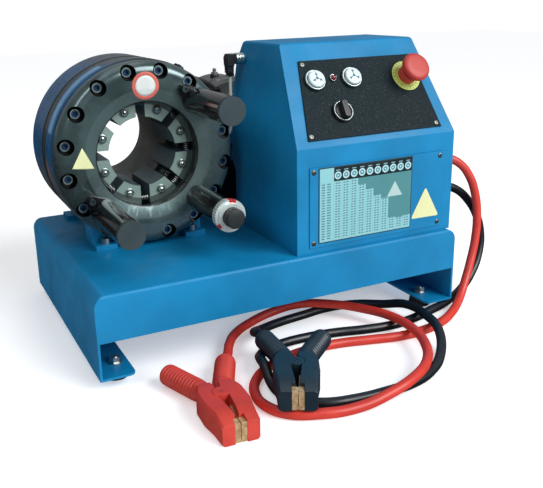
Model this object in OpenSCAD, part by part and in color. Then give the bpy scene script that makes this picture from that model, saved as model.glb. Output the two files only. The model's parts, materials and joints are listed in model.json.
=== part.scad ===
// Hose crimping machine: a crimping head and a control box on a folded base
// x runs to the right, y to the rear and z up, from the middle of the floor under the machine

/* [Base] */
// Width of the base
base_w = 530; // [480:1:620]
// Depth of the base
base_d = 372; // [372:1:386]
// Height of the base above its foot flanges
base_h = 109; // [90:1:150]
// Thickness of the base's sheet
sheet_t = 3; // [2:0.5:4]
// Height of the front and rear skirts
skirt_h = 60; // [40:1:80]
// Radius of the folds along the sides
side_fold_r = 16; // [8:1:22]
// Radius of the folds along the front and rear
front_fold_r = 5; // [4.5:0.5:10]
// Width of the foot flanges
foot_flange_w = 45; // [38:1:60]
// Height of the rubber feet
foot_h = 15; // [10:1:30]
// Diameter of the rubber feet
foot_d = 31; // [26:1:36]

/* [Crimping head] */
// Distance from the base's left end to the head's axis
head_x = 126; // [126:1:134]
// Distance from the base's front to the head's front face
head_y = 146; // [140:1:150]
// Radius of the front flange
flange_r = 124; // [124:0.5:125]
// Thickness of the front flange
flange_t = 29; // [27:0.5:31]
// Radius of the bore through the front flange
mouth_r = 71; // [69:0.5:72]
// Radius of the barrel
barrel_r = 125.5; // [125.5:0.5:127]
// Length of the barrel
barrel_l = 121; // [119:1:126]
// Gap between the barrel and the base
barrel_lift = 1.2; // [0.5:0.1:6]
// Radius of the bore in the barrel
piston_bore_r = 104; // [103.5:0.1:104.5]
// Radius of the hose passage behind the dies
passage_r = 63; // [60:0.5:64]
// Length of the head from its front face to its rear end
head_l = 241; // [225:1:250]
// Number of screws in the front flange
flange_screw_n = 16; // [16:16:16]

/* [Dies] */
// Number of dies
die_n = 8; // [8:8:8]
// Length of the dies
die_l = 80; // [76:1:82]
// Radius between the open dies
die_open_r = 48; // [46:0.5:50]
// Outer radius of the dies at their front end
die_front_r = 74; // [73:0.5:75]
// Angle of the cone that closes the dies
cone_angle = 16; // [14:0.5:17]
// Gap between two open dies
die_gap = 13; // [12:0.5:14]
// Stroke of the piston
stroke = 28; // [22:1:28]
// Diameter of the die pins
pin_d = 7; // [6:0.5:8]

/* [Front cylinders] */
// Radius of the circle that the three front cylinders stand on
housing_ring_r = 96; // [95.5:0.5:96.5]
// Diameter of the front cylinders
housing_d = 36; // [32:1:38]
// Length of a spring housing with its cap
housing_l = 122; // [90:1:130]
// Thickness of the caps
cap_t = 6; // [4:0.5:10]
// Diameter of the rods that pull the piston back
rod_d = 8; // [7:0.5:8.5]
// Length of the micrometer's body
micrometer_l = 96; // [85:1:110]
// Diameter of the micrometer's scale ring
scale_d = 43; // [40:1:48]
// Diameter of the micrometer's knob
knob_d = 26; // [22:1:30]

/* [Control box] */
// Distance from the base's left end to the box
box_x = 273; // [268:1:275]
// Distance from the base's front to the box
box_y = 7; // [5:0.5:10]
// Width of the box
box_w = 250.5; // [240:0.5:256]
// Height of the box's upright front
bend_h = 141; // [130:1:150]
// Height of the box
box_h = 266.5; // [255:0.5:290]
// Depth of the box
box_d = 203; // [199:1:206]
// Amount that each side leans in at the top
side_lean = 19; // [10:1:26]
// Set-back of the box's top edge behind its front
slope_d = 80; // [70:1:90]
// Thickness of the box's sheet
box_t = 2; // [1.5:0.5:3]

/* [Power pack] */
// Diameter of the pump motor
motor_d = 150; // [120:1:152]
// Length of the pump motor
motor_l = 84; // [70:1:90]
// Width of the oil tank
tank_w = 132; // [90:1:136]
// Outer diameter of the pressure pipe
pipe_d = 12; // [8:1:14]

/* [Battery cables] */
// Diameter of the battery cables
cable_d = 12.5; // [10:0.5:12.5]
// Length of a clamp's handle from its pivot
handle_reach = 98; // [98:1:100]
// Diameter of a clamp's handle
handle_d = 24; // [20:1:26]
// Length of a clamp's jaw from its pivot
jaw_reach = 62; // [50:1:70]
// Height of a clamp
clamp_h = 30; // [26:1:34]

/* [Hidden] */

// Clearances and small sizes that many pieces share
run_gap = 0.05;      // radial gap of a running fit
body_gap = 0.3;      // gap between pieces that move past each other
overrun = 1;         // how far a cut runs past a face
round_fn = 64;
fine_fn = 96;
small_fn = 32;
cord_sides = 8;
cord_gap = 0.65;     // radial gap round a cord where it goes in
eps = 0.01;

// Heights and places of the large pieces
base_top_z = foot_h + base_h;
machine_d = head_y + head_l;
head_z = base_top_z + barrel_r + barrel_lift;
box_top_d = 107;
rear_chamfer_h = 30;
rear_step_h = 104;
rear_step_low_h = 80;
rear_step = 18;
slant_angle = atan(slope_d / (box_h - bend_h));

// Feet
foot_inset_x = 29;
foot_inset_y = 38;
foot_taper = 4;
foot_top_d = foot_d - foot_taper;
flange_corner_r = 8;
stud_d = 8;
stud_top = 9;
nut_d = 15;
nut_h = 6.5;
washer_d = 18;
washer_t = 1.6;
stud_play = 1;
stud_hole_d = stud_d + stud_play;

// Supports under the head
saddle_w = 160;
saddle_l = 38;
saddle_h = 30;
saddle_plate_t = 7;
saddle_tab_w = 30;
saddle_tab_l = 18;
saddle_bolt_x = 64;
saddle_bolt_inset = 8;
cover_t = 17;
saddle_y = head_y + flange_t + body_gap;
saddle_bolt_y = saddle_y - saddle_bolt_inset;
rear_saddle_w = 96;
rear_saddle_l = 30;
rear_saddle_gap = 16;
rear_saddle_y = head_y + flange_t + barrel_l + cover_t + rear_saddle_gap;
neck_r = 86;
bolt_d = 8;
bolt_head_d = 13;
bolt_head_h = 8;
hex_key_d = 6.9;
hex_key_depth = 4;

// Front flange
flange_edge_r = 15;
funnel_r = 88;
funnel_d = 5;
pocket_d = 20.6;
pocket_depth = 17;
screw_ring_r = 112;
screw_l = 44;
cone_gap = 0.3;
sector = 360 / die_n;
die_set_back = 1;
die_front_d = flange_t + die_set_back;
die_rear_d = die_front_d + die_l;
die_travel = stroke * tan(cone_angle);
cone_front_d = die_front_d - (die_front_r + cone_gap - mouth_r) / tan(cone_angle);
die_rear_r = die_front_r + die_l * tan(cone_angle);
rod_angles = [45, 225, 315];
rod_hole_d = rod_d + 1;

// Piston and rear housing
thrust_gap = 0.1;
piston_front_d = die_rear_d + thrust_gap;
piston_l = 36;
spigot_rear_d = piston_front_d - stroke - body_gap;
rod_hold = 12;
sleeve_wall = 7;
sleeve_r = passage_r + sleeve_wall;
sleeve_gap = 2;
sleeve_front_d = die_rear_d + sleeve_gap;
barrel_rear_d = flange_t + barrel_l;
cover_step = 7;
cover_r = barrel_r - cover_step;
cover_spigot_l = 3;
cover_screw_ring_r = 112;
cover_screw_n = 8;
cover_screw_l = 36;
seal_band_d = 64;
seal_band_w = 20;
seal_band_depth = 0.8;

// Dies
pin_ring_r = 60;
pin_out = 4;
pin_in = 14;
pin_collar_d = 13;
pin_collar_h = 1.6;
spring_ring_r = 66;
spring_d = 9;
spring_wire = 1.3;
spring_turns = 4;
curl_rings = 8;
curl_sides = 6;
spring_depth_1 = 9;
spring_depth_2 = 42;
spring_seat = 0.3;
die_spring_l = die_gap - 2 * spring_seat;

// Front cylinders
ear_t = 7;
ear_reach = 24;
ear_r = 6.5;
ear_bolt_d = 5;
ear_bolt_head_d = 8.5;
ear_bolt_head_h = 5;
ear_bolt_l = 16;
housing_wall = 4;
housing_floor = 5;
cap_plug_l = 8;
rod_tip = 14;
rod_collar_d = 22;
rod_collar_t = 4;
return_spring_d = 20;
return_spring_wire = 2;
rod_tip_gap = 2;
collar_z = housing_floor + rod_tip_gap;
return_spring_l = housing_l - cap_t - cap_plug_l - collar_z - rod_collar_t - 2 * body_gap;
spring_angles = [45, 225];
micrometer_angle = 315;
micrometer_seat = 6;
ear_key_d = 4.6;
knob_round = 2;
knob_stem_l = 58;
scale_l = 10;
scale_step_d = 35;
scale_step_l = 4;
knob_l = 14;
knob_stem_d = 10;

// Control box front
cover_inset = 18;
cover_low = 8;
cover_high = 115.5;
cover_panel_t = 1.5;
panel_window = 12;
panel_screw_d = 4;
panel_screw_head_d = 7;
panel_screw_head_h = 1.6;
panel_screw_inset = 6;
panel_screw_l = 7;
box_fold_r = 5;
chart_left = 31;
chart_w = 148;
chart_low = 13;
chart_h = 101;
chart_t = 0.8;
plate_low = 9;
plate_high = 121;
plate_bottom_left = 19;
plate_bottom_right = 230;
plate_top_left = 38;
plate_top_right = 218;
plate_t = 2;
plate_window = 8;
plate_screws_at = [[24.5, 14.5], [223, 14.5], [42.5, 115.5], [212, 115.5]];
control_floor = 1.2;

// Places of the controls: from the box's left edge, and up the slope from the bend
open_button_at = [53, 91];
close_button_at = [109.5, 91];
pilot_at = [81.5, 93];
selector_at = [80, 44];
stop_at = [199, 88];
bezel_d = 29.5;
bezel_h = 5;
button_cap_d = 23.5;
button_cap_h = 11;
button_travel = 4;
button_stem_d = 12;
button_stem_l = 20;
control_hole_d = 22.5;
control_body_d = 22;
control_body_l = 30;
pilot_d = 10;
pilot_h = 3;
pilot_lens_d = 7.5;
pilot_lens_h = 3;
selector_ring_d = 29;
selector_ring_h = 5.5;
selector_disc_d = 23;
selector_disc_h = 3;
selector_grip_w = 6.5;
selector_grip_h = 11;
selector_grip_l = 18;
stop_ring_d = 44;
stop_ring_t = 1.2;
stop_collar_d = 27;
stop_collar_h = 11;
mushroom_d = 40;
mushroom_h = 11;
mushroom_edge_r = 4;
mushroom_neck_d = 20;
mushroom_stem_l = 12;
mushroom_top_z = 33;
stop_travel = 5;

// Sensor plug on the box's left side
socket_y = 178;
socket_h = 243;
socket_d = 16;
socket_l = 14;
socket_grip_n = 3;
socket_thread_d = 12;
plug_w = 15;
plug_drop = 28;
plug_top = 8;
sensor_d = 4.5;
switch_h = 11;
switch_reach = 16.5;
switch_tall = 30;
switch_w = 22;
switch_angle = -8;
switch_depth = 44;

// Battery cable glands
gland_y = 48;
gland_heights = [92, 48];
gland_d = 26;
gland_nut_l = 6;
gland_l = 14;
gland_bore_d = cable_d + 2 * cord_gap;

// Power pack behind the box
pack_set_back = 90;
pack_side = 51;
motor_x = box_x + pack_side;
motor_y = box_y + box_d + pack_set_back;
motor_axis_h = 128.5;
block_side = 60;
block_h = 100;
block_l = 38;
motor_band_w = 14;
motor_band_depth = 2;
tank_h = 150;
tank_r = 10;
tank_l = 80;
bracket_w = 120;
bracket_t = 5;
bracket_l = 60;
pipe_port_angle = 47;
pipe_port_d = 120;
fitting_d = 20;
fitting_h = 8;
fitting_thread_d = 14;
fitting_thread_l = 10;
pipe_hold = 3;
pipe_rise_1 = 22;
pipe_rise_2 = 30;
pipe_steps = 11;
pipe_sides = 10;
contactor_d = 46;
contactor_h = 62;
contactor_at = [190, 110];
gland_thread_d = 20;
gland_taper = 2;
plug_chamfer = 4;
plug_hold = 4;
socket_x = side_lean * (socket_h - bend_h) / (box_h - bend_h);
socket_stand = 1.5;
tank_x = motor_x + block_side;
tank_inset = 2;
filler_d = 34;
filler_h = 9;
bracket_inset = 9;
bracket_rise = 14;
motor_crown = 5;
block_top_z = base_top_z + motor_axis_h + block_h / 2;
pipe_side = 41;
pipe_inset = 18;
pipe_end = [motor_x - pipe_side, motor_y - pipe_inset];

// Clamps
red_pivot = [109, -108];
red_turn = -4;
red_lift = 0;
black_pivot = [205, -108];
black_turn = -27;
black_lift = 14;
handle_spread = 23;
handle_start = 14;
handle_root_d = 18;
handle_end_round = 3;
grip_from = 44;
rib_n = 10;
rib_depth = 1.1;
cable_hold = 16;
rib_end_gap = 3;
rib_pitch = (handle_reach - handle_end_round - grip_from - rib_end_gap) / rib_n;
neck_in = 6;
clamp_w = 54;
tip_w = 44;
slot_w = 14;
shoulder_y = 8;
neck_y = 24;
waist_y = 20;
nose_y = 40;
nose_drop = 5;
pivot_pin_d = 6;
knuckle_d = 20;
knuckle_t = 8;
spring_space = 7;
clamp_spring_wire = 3;
jaw_inset = 1;
jaw_rear_y = 14;
jaw_lip = 2;
jaw_gap = 0.5;
jaw_open_angle = 20;
opening_spare = 1;
half_opening = jaw_open_angle / 2 + opening_spare;

// Routes of the cords from the base's front left corner at floor height, chosen by hand
red_route = [
    [532, 55, 216], [556, 55, 214], [576, 50, 204], [590, 44, 185], [598, 38, 158], [600, 33, 125],
    [594, 27, 92], [580, 19, 60], [561, 8, 33], [538, -7, 14], [508, -26, 7], [475, -43, 6.5],
    [438, -52, 6.5], [400, -52, 6.5], [358, -42, 6.5], [314, -31, 6.5], [270, -28, 6.5],
    [232, -34, 6.5], [200, -46, 6.5], [174, -66, 6.5], [158, -94, 6.5], [156, -124, 6.5],
    [170, -150, 6.5], [200, -167, 6.5], [245, -177, 7], [290, -178, 14], [332, -168, 19.5],
    [368, -144, 19.5], [395, -108, 19.5], [410, -64, 19.5], [409, -18, 19.5], [390, 28, 18],
    [357, 61, 19.5], [316, 82, 19.5], [276, 89, 13], [237, 81, 8], [205, 60, 8], [180, 26, 12],
    [165, -2, 14], [154, -20, 15], [147, -33, 15]
];
black_route = [
    [532, 55, 172], [556, 55, 171], [577, 54, 163], [597, 53, 146], [613, 50, 122], [621, 46, 92],
    [614, 39, 61], [593, 29, 35], [563, 19, 16], [528, 9, 7], [490, -3, 6.5], [450, -14, 6.5],
    [410, -18, 6.5], [370, -12, 6.5], [328, -1, 6.5], [286, 5, 6.5], [246, 4, 6.5], [216, -6, 7.5],
    [203, -18, 9], [196, -32, 15.5], [190.5, -46, 20], [188, -60, 19.5], [186, -72, 14], [185, -84, 8],
    [184, -106, 6.5], [191, -130, 6.5],
    [216, -150, 6.5], [252, -160, 6.5], [292, -163, 6.5], [334, -161, 6.5], [374, -147, 6.5],
    [410, -120, 9], [438, -82, 19], [453, -38, 19.5], [453, 6, 19.5], [438, 44, 9], [405, 69, 6.5],
    [362, 76, 6.5], [318, 71, 6.5], [274, 65, 6.5], [240, 52, 9], [219, 30, 19], [213.5, 10, 27.5],
    [212, -8, 29], [211, -24, 29]
];
sensor_route = [
    [265.5, 185, 343], [265.5, 185, 335], [265.5, 185, 318], [265.5, 185, 298], [265.3, 185.5, 281],
    [264, 187, 266], [260.5, 189, 257], [258, 190, 247]
];

// Frames that the pieces are drawn in
module machine() translate([-base_w / 2, -machine_d / 2, 0]) children();
module on_base() machine() translate([0, 0, base_top_z]) children();
module head_frame() machine() translate([head_x, head_y, head_z]) rotate([90, 0, 0]) children();
module box_frame() on_base() translate([box_x, box_y, 0]) children();
module slant_frame(at)
    box_frame()
        translate([at[0], at[1] * sin(slant_angle), bend_h + at[1] * cos(slant_angle)])
            rotate([90 - slant_angle, 0, 0]) children();
module front_frame(at) box_frame() translate([at[0], 0, at[1]]) rotate([90, 0, 0]) children();

// A ring between two radii that reaches from one depth to another behind the head's front face
module head_ring(inner_r, outer_r, from_d, to_d, facets = fine_fn)
    translate([0, 0, -to_d])
        difference() {
            cylinder(r = outer_r, h = to_d - from_d, $fn = facets);
            translate([0, 0, -overrun]) cylinder(r = inner_r, h = to_d - from_d + 2 * overrun, $fn = facets);
        }

// A round hole through a wall that starts at z = 0, with a running gap round what goes through it
module bore(d, h, facets = small_fn)
    translate([0, 0, -overrun]) cylinder(d = d + 2 * run_gap, h = h + 2 * overrun, $fn = facets);

module around(count, ring_r, start = 0)
    for (i = [0:count - 1]) rotate([0, 0, start + i * 360 / count]) translate([ring_r, 0, 0]) children();

module at_rods(angles) for (a = angles) rotate([0, 0, a]) translate([housing_ring_r, 0, 0]) children();

// A socket head screw whose head stands on z = 0
module socket_screw(head_d, head_h, shank_d, shank_l, key_d) {
    difference() {
        cylinder(d = head_d, h = head_h, $fn = small_fn);
        translate([0, 0, head_h - hex_key_depth * head_h / bolt_head_h])
            cylinder(d = key_d, h = hex_key_depth + overrun, $fn = 6);
    }
    translate([0, 0, -shank_l]) cylinder(d = shank_d, h = shank_l + eps, $fn = small_fn);
}

// Swept tube: the normal of each ring is the one before it, turned square to the path
function cone_r(d) = die_front_r + (d - die_front_d) * tan(cone_angle) + cone_gap;
function unit(v) = v / norm(v);
function tangent(path, i) = unit(path[min(i + 1, len(path) - 1)] - path[max(i - 1, 0)]);
function square_to(v, t) = unit(v - (v * t) * t);
function normals(path, first) = [
    for (i = 0, n = square_to(first, tangent(path, 0)); i < len(path);
         i = i + 1, n = i < len(path) ? square_to(n, tangent(path, i)) : n) n
];
module tube(path, d, sides, first = [1, 5, 0.5]) {
    count = len(path);
    n = normals(path, first);
    ring_points = [
        for (i = [0:count - 1]) let (t = tangent(path, i), b = cross(t, n[i]))
            for (k = [0:sides - 1])
                path[i] + d / 2 * (cos(k * 360 / sides) * n[i] + sin(k * 360 / sides) * b)
    ];
    side_faces = [
        for (i = [0:count - 2]) for (k = [0:sides - 1]) for (half = [0, 1])
            let (a = i * sides + k, b = i * sides + (k + 1) % sides)
                half == 0 ? [a, a + sides, b] : [b, a + sides, b + sides]
    ];
    first_cap = [for (k = [1:sides - 2]) [0, k, k + 1]];
    last = (count - 1) * sides;
    last_cap = [for (k = [1:sides - 2]) [last, last + k + 1, last + k]];
    polyhedron(points = ring_points, faces = concat(side_faces, first_cap, last_cap));
}

// One strand wound as a helix about z, closed at both ends, whose end turns lie close together
function helix_path(coil_d, wire, turns, length, steps) = [
    for (i = [0:turns * steps])
        let (share = i / (turns * steps), a = 360 * i / steps)
            [(coil_d - wire) / 2 * cos(a), (coil_d - wire) / 2 * sin(a),
             wire / 2 + share * (length - wire)]
];
module coil_spring(coil_d, wire, turns, length)
    tube(helix_path(coil_d, wire, turns, length, curl_rings), wire, curl_sides, [1, 0, 0]);

// Base
module round_top(w, h, r) {
    square([w, h - r]);
    translate([r, 0]) square([w - 2 * r, h]);
    for (x = [r, w - r]) translate([x, h - r]) circle(r = r, $fn = round_fn);
}
module folded_block(w, d, h, side_r, front_r)
    intersection() {
        translate([0, d, 0]) rotate([90, 0, 0]) linear_extrude(d) round_top(w, h, side_r);
        rotate([90, 0, 90]) linear_extrude(w) round_top(d, h, front_r);
    }
module foot_flange() {
    translate([0, flange_corner_r, 0]) cube([foot_flange_w, base_d - 2 * flange_corner_r, sheet_t]);
    cube([foot_flange_w - flange_corner_r, base_d, sheet_t]);
    for (y = [flange_corner_r, base_d - flange_corner_r])
        translate([foot_flange_w - flange_corner_r, y, 0])
            cylinder(r = flange_corner_r, h = sheet_t, $fn = small_fn);
}
module at_feet()
    for (x = [foot_inset_x, base_w - foot_inset_x], y = [foot_inset_y, base_d - foot_inset_y])
        translate([x, y, 0]) children();
module base_tray()
    color([0.07, 0.42, 0.62]) machine() translate([0, 0, foot_h]) difference() {
        union() {
            difference() {
                folded_block(base_w, base_d, base_h, side_fold_r, front_fold_r);
                translate([sheet_t, sheet_t, -overrun])
                    folded_block(base_w - 2 * sheet_t, base_d - 2 * sheet_t, base_h - sheet_t + overrun,
                                 side_fold_r - sheet_t, front_fold_r - sheet_t);
                translate([sheet_t, -overrun, -overrun])
                    cube([base_w - 2 * sheet_t, base_d + 2 * overrun, base_h - skirt_h + overrun]);
            }
            foot_flange();
            translate([base_w, 0, 0]) mirror([1, 0, 0]) foot_flange();
        }
        at_feet() bore(stud_hole_d - 2 * run_gap, sheet_t);
        translate([0, 0, base_h - sheet_t]) at_saddle_bolts() bore(bolt_d, sheet_t);
    }
module rubber_feet()
    color([0.05, 0.05, 0.06]) machine() at_feet() difference() {
        cylinder(d1 = foot_d, d2 = foot_top_d, h = foot_h, $fn = round_fn);
        translate([0, 0, foot_h / 2]) cylinder(d = stud_d + 2 * run_gap, h = foot_h, $fn = small_fn);
    }
module mounting_bolts()
    color([0.75, 0.76, 0.78]) machine() {
        at_feet() {
            translate([0, 0, foot_h / 2])
                cylinder(d = stud_d, h = foot_h / 2 + sheet_t + stud_top, $fn = small_fn);
            translate([0, 0, foot_h + sheet_t]) {
                cylinder(d = washer_d, h = washer_t, $fn = small_fn);
                cylinder(d = nut_d, h = washer_t + nut_h, $fn = 6);
            }
        }
        translate([0, 0, base_top_z + saddle_plate_t]) at_saddle_bolts()
            socket_screw(bolt_head_d, bolt_head_h, bolt_d, saddle_plate_t + sheet_t, hex_key_d);
    }

// Supports that carry the head on the base
module at_saddle_bolts()
    for (side = [-1, 1], y = [saddle_bolt_y, rear_saddle_y + rear_saddle_l / 2])
        translate([head_x + side * saddle_bolt_x, y, 0]) children();
module head_feet()
    color([0.07, 0.08, 0.09]) difference() {
        on_base() {
            translate([head_x - saddle_w / 2, saddle_y, 0]) cube([saddle_w, saddle_l, saddle_h]);
            for (side = [0, 1]) translate([head_x, 0, 0]) mirror([side, 0, 0])
                translate([saddle_w / 2 - saddle_tab_w, saddle_y - saddle_tab_l, 0])
                    cube([saddle_tab_w, saddle_tab_l + eps, saddle_plate_t]);
            translate([head_x - rear_saddle_w / 2, rear_saddle_y, 0])
                cube([rear_saddle_w, rear_saddle_l, barrel_r + barrel_lift - neck_r + saddle_h / 2]);
            translate([head_x - saddle_w / 2, rear_saddle_y, 0])
                cube([saddle_w, rear_saddle_l, saddle_plate_t]);
        }
        head_frame() {
            translate([0, 0, -barrel_rear_d])
                cylinder(r = barrel_r + run_gap, h = barrel_rear_d, $fn = fine_fn);
            translate([0, 0, -head_l - overrun])
                cylinder(r = neck_r + run_gap, h = head_l - barrel_rear_d, $fn = fine_fn);
        }
        on_base() at_saddle_bolts() bore(bolt_d, saddle_plate_t);
    }

// Crimping head
module ring_of_screws(count, ring_r, depth)
    around(count, ring_r, 180 / count) translate([0, 0, -depth]) children();
module barrel()
    color([0.03, 0.29, 0.46]) head_frame() difference() {
        head_ring(piston_bore_r, barrel_r, flange_t, barrel_rear_d);
        head_ring(barrel_r - seal_band_depth, barrel_r + overrun, seal_band_d, seal_band_d + seal_band_w);
        ring_of_screws(flange_screw_n, screw_ring_r, pocket_depth + screw_l)
            cylinder(d = bolt_d + 2 * run_gap, h = screw_l, $fn = small_fn);
        ring_of_screws(cover_screw_n, cover_screw_ring_r, barrel_rear_d + overrun)
            cylinder(d = bolt_d + 2 * run_gap, h = cover_screw_l - cover_t + 2 * overrun, $fn = small_fn);
        rotate([0, 0, pipe_port_angle]) translate([piston_bore_r - overrun, 0, -pipe_port_d])
            rotate([0, 90, 0]) cylinder(d = fitting_thread_d + 2 * run_gap,
                                        h = barrel_r - piston_bore_r + 2 * overrun, $fn = small_fn);
    }
module flange_profile() {
    translate([mouth_r, -flange_t]) square([flange_r - mouth_r, flange_t - flange_edge_r]);
    translate([mouth_r, -flange_t]) square([flange_r - flange_edge_r - mouth_r, flange_t]);
    intersection() {
        translate([flange_r - flange_edge_r, -flange_edge_r]) circle(r = flange_edge_r, $fn = fine_fn);
        translate([mouth_r, -flange_t]) square([flange_r, flange_t]);
    }
}
module front_flange()
    color([0.13, 0.15, 0.16]) head_frame() difference() {
        union() {
            rotate_extrude($fn = fine_fn) difference() {
                flange_profile();
                polygon([[mouth_r - overrun, -funnel_d], [mouth_r, -funnel_d], [funnel_r, 0],
                         [funnel_r, overrun], [mouth_r - overrun, overrun]]);
                polygon([[mouth_r - 2 * overrun, overrun - cone_front_d],
                         [cone_r(cone_front_d - overrun), overrun - cone_front_d],
                         [cone_r(flange_t + overrun), -flange_t - overrun],
                         [mouth_r - 2 * overrun, -flange_t - overrun]]);
            }
            rotate_extrude($fn = fine_fn) polygon([
                [cone_r(flange_t), -flange_t - eps], [piston_bore_r - run_gap, -flange_t - eps],
                [piston_bore_r - run_gap, -spigot_rear_d], [cone_r(spigot_rear_d), -spigot_rear_d]]);
        }
        ring_of_screws(flange_screw_n, screw_ring_r, pocket_depth) {
            cylinder(d = pocket_d, h = pocket_depth + overrun, $fn = small_fn);
            translate([0, 0, -flange_t])
                cylinder(d = bolt_d + 2 * run_gap, h = flange_t + overrun, $fn = small_fn);
        }
        at_rods(rod_angles) translate([0, 0, -spigot_rear_d - overrun])
            cylinder(d = rod_hole_d, h = spigot_rear_d + 2 * overrun, $fn = small_fn);
        at_rods(spring_angles) at_ear_bolts() translate([0, 0, ear_t - ear_bolt_l - overrun])
            cylinder(d = ear_bolt_d + 2 * run_gap, h = ear_bolt_l + overrun, $fn = small_fn);
        at_rods([micrometer_angle]) translate([0, 0, -micrometer_seat])
            cylinder(d = housing_d + 2 * run_gap, h = micrometer_seat + overrun, $fn = round_fn);
    }
module head_screws()
    color([0.10, 0.11, 0.13]) head_frame() {
        ring_of_screws(flange_screw_n, screw_ring_r, pocket_depth)
            socket_screw(bolt_head_d, bolt_head_h, bolt_d, screw_l, hex_key_d);
        at_rods(spring_angles) at_ear_bolts() translate([0, 0, ear_t])
            socket_screw(ear_bolt_head_d, ear_bolt_head_h, ear_bolt_d, ear_bolt_l, ear_key_d);
        rotate([0, 180, 0]) translate([0, 0, barrel_rear_d + cover_t])
            around(cover_screw_n, cover_screw_ring_r, 180 / cover_screw_n)
                socket_screw(bolt_head_d, bolt_head_h, bolt_d, cover_screw_l, hex_key_d);
    }
module rear_housing()
    color([0.10, 0.12, 0.13]) head_frame() difference() {
        union() {
            head_ring(passage_r, sleeve_r, sleeve_front_d, head_l);
            head_ring(passage_r, piston_bore_r - run_gap, barrel_rear_d - cover_spigot_l,
                      barrel_rear_d + cover_t);
            head_ring(passage_r, cover_r, barrel_rear_d, barrel_rear_d + cover_t);
            head_ring(passage_r, neck_r, barrel_rear_d, head_l);
        }
        ring_of_screws(cover_screw_n, cover_screw_ring_r, barrel_rear_d + cover_t + overrun)
            cylinder(d = bolt_d + 2 * run_gap, h = cover_t + 2 * overrun, $fn = small_fn);
    }
module ring_piston()
    color([0.42, 0.44, 0.45]) head_frame() difference() {
        head_ring(sleeve_r + run_gap, piston_bore_r - run_gap, piston_front_d, piston_front_d + piston_l);
        at_rods(rod_angles) translate([0, 0, -piston_front_d - rod_hold])
            cylinder(d = rod_d + 2 * run_gap, h = rod_hold + overrun, $fn = small_fn);
    }
module rod(reach)
    translate([0, 0, -piston_front_d - rod_hold])
        cylinder(d = rod_d, h = piston_front_d + rod_hold + reach, $fn = small_fn);
module piston_rods()
    color([0.72, 0.73, 0.75]) head_frame() {
        at_rods(spring_angles) {
            rod(collar_z + rod_collar_t + rod_tip);
            translate([0, 0, collar_z]) cylinder(d = rod_collar_d, h = rod_collar_t, $fn = small_fn);
        }
        at_rods([micrometer_angle]) rod(collar_z);
    }

// Dies: each back is round about the axis of the closed cone, so that it clears the cone at every stroke
module die_wedge()
    polygon([[die_gap / 2 / sin(sector / 2), 0],
             [flange_r * cos(sector / 2), flange_r * sin(sector / 2) - die_gap / 2 / cos(sector / 2)],
             [flange_r * cos(sector / 2), -flange_r * sin(sector / 2) + die_gap / 2 / cos(sector / 2)]]);
module die(i)
    color([0.47, 0.55, 0.55]) head_frame() rotate([0, 0, sector * (i - 0.5)]) {
        difference() {
            intersection() {
                translate([die_travel, 0, -die_rear_d])
                    cylinder(r1 = die_rear_r - die_travel, r2 = die_front_r - die_travel, h = die_l,
                             $fn = fine_fn);
                translate([0, 0, -die_rear_d - overrun]) linear_extrude(die_l + 2 * overrun) die_wedge();
            }
            translate([0, 0, -die_rear_d - overrun])
                cylinder(r = die_open_r, h = die_l + 2 * overrun, $fn = fine_fn);
            translate([pin_ring_r, 0, -die_front_d - pin_in])
                cylinder(d = pin_d + 2 * run_gap, h = pin_in + overrun, $fn = small_fn);
        }
        translate([pin_ring_r, 0, -die_front_d]) {
            translate([0, 0, -pin_in]) cylinder(d = pin_d, h = pin_in + pin_out, $fn = small_fn);
            cylinder(d = pin_collar_d, h = pin_collar_h, $fn = small_fn);
        }
    }
module die_1() die(1);
module die_2() die(2);
module die_3() die(3);
module die_4() die(4);
module die_5() die(5);
module die_6() die(6);
module die_7() die(7);
module die_8() die(8);
module gap_springs(i)
    color([0.80, 0.81, 0.83]) head_frame()
        for (side = [-0.5, 0.5], depth = [spring_depth_1, spring_depth_2])
            rotate([0, 0, sector * (i - 0.5 + side)])
                translate([spring_ring_r, -die_spring_l / 2, -die_front_d - depth])
                    rotate([-90, 0, 0]) coil_spring(spring_d, spring_wire, spring_turns, die_spring_l);
module die_springs_1() gap_springs(1);
module die_springs_3() gap_springs(3);
module die_springs_5() gap_springs(5);
module die_springs_7() gap_springs(7);

// Cylinders on the front of the head
module at_ear_bolts() for (side = [-1, 1]) translate([0, side * ear_reach, 0]) children();
module spring_housings()
    color([0.05, 0.06, 0.07]) head_frame() at_rods(spring_angles) difference() {
        union() {
            cylinder(d = housing_d, h = housing_l - cap_t, $fn = round_fn);
            hull() {
                cylinder(d = housing_d, h = ear_t, $fn = small_fn);
                at_ear_bolts() cylinder(r = ear_r, h = ear_t, $fn = small_fn);
            }
        }
        translate([0, 0, housing_floor])
            cylinder(d = housing_d - 2 * housing_wall, h = housing_l, $fn = round_fn);
        bore(rod_hole_d - 2 * run_gap, housing_floor);
        at_ear_bolts() bore(ear_bolt_d, ear_t);
    }
module housing_caps()
    color([0.20, 0.22, 0.23]) head_frame() at_rods(spring_angles) translate([0, 0, housing_l - cap_t]) {
        cylinder(d = housing_d, h = cap_t, $fn = round_fn);
        translate([0, 0, -cap_plug_l])
            cylinder(d = housing_d - 2 * housing_wall - 2 * run_gap, h = cap_plug_l + eps, $fn = round_fn);
    }
module return_springs()
    color([0.60, 0.62, 0.64]) head_frame() at_rods(spring_angles)
        translate([0, 0, collar_z + rod_collar_t + body_gap]) difference() {
            cylinder(d = return_spring_d, h = return_spring_l, $fn = small_fn);
            bore(return_spring_d - 2 * return_spring_wire - 2 * run_gap, return_spring_l);
        }
module micrometer_body()
    color([0.05, 0.06, 0.07]) head_frame() at_rods([micrometer_angle]) difference() {
        translate([0, 0, -micrometer_seat])
            cylinder(d = housing_d, h = micrometer_seat + micrometer_l, $fn = round_fn);
        translate([0, 0, -micrometer_seat]) bore(knob_stem_d, micrometer_l + micrometer_seat);
    }
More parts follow.
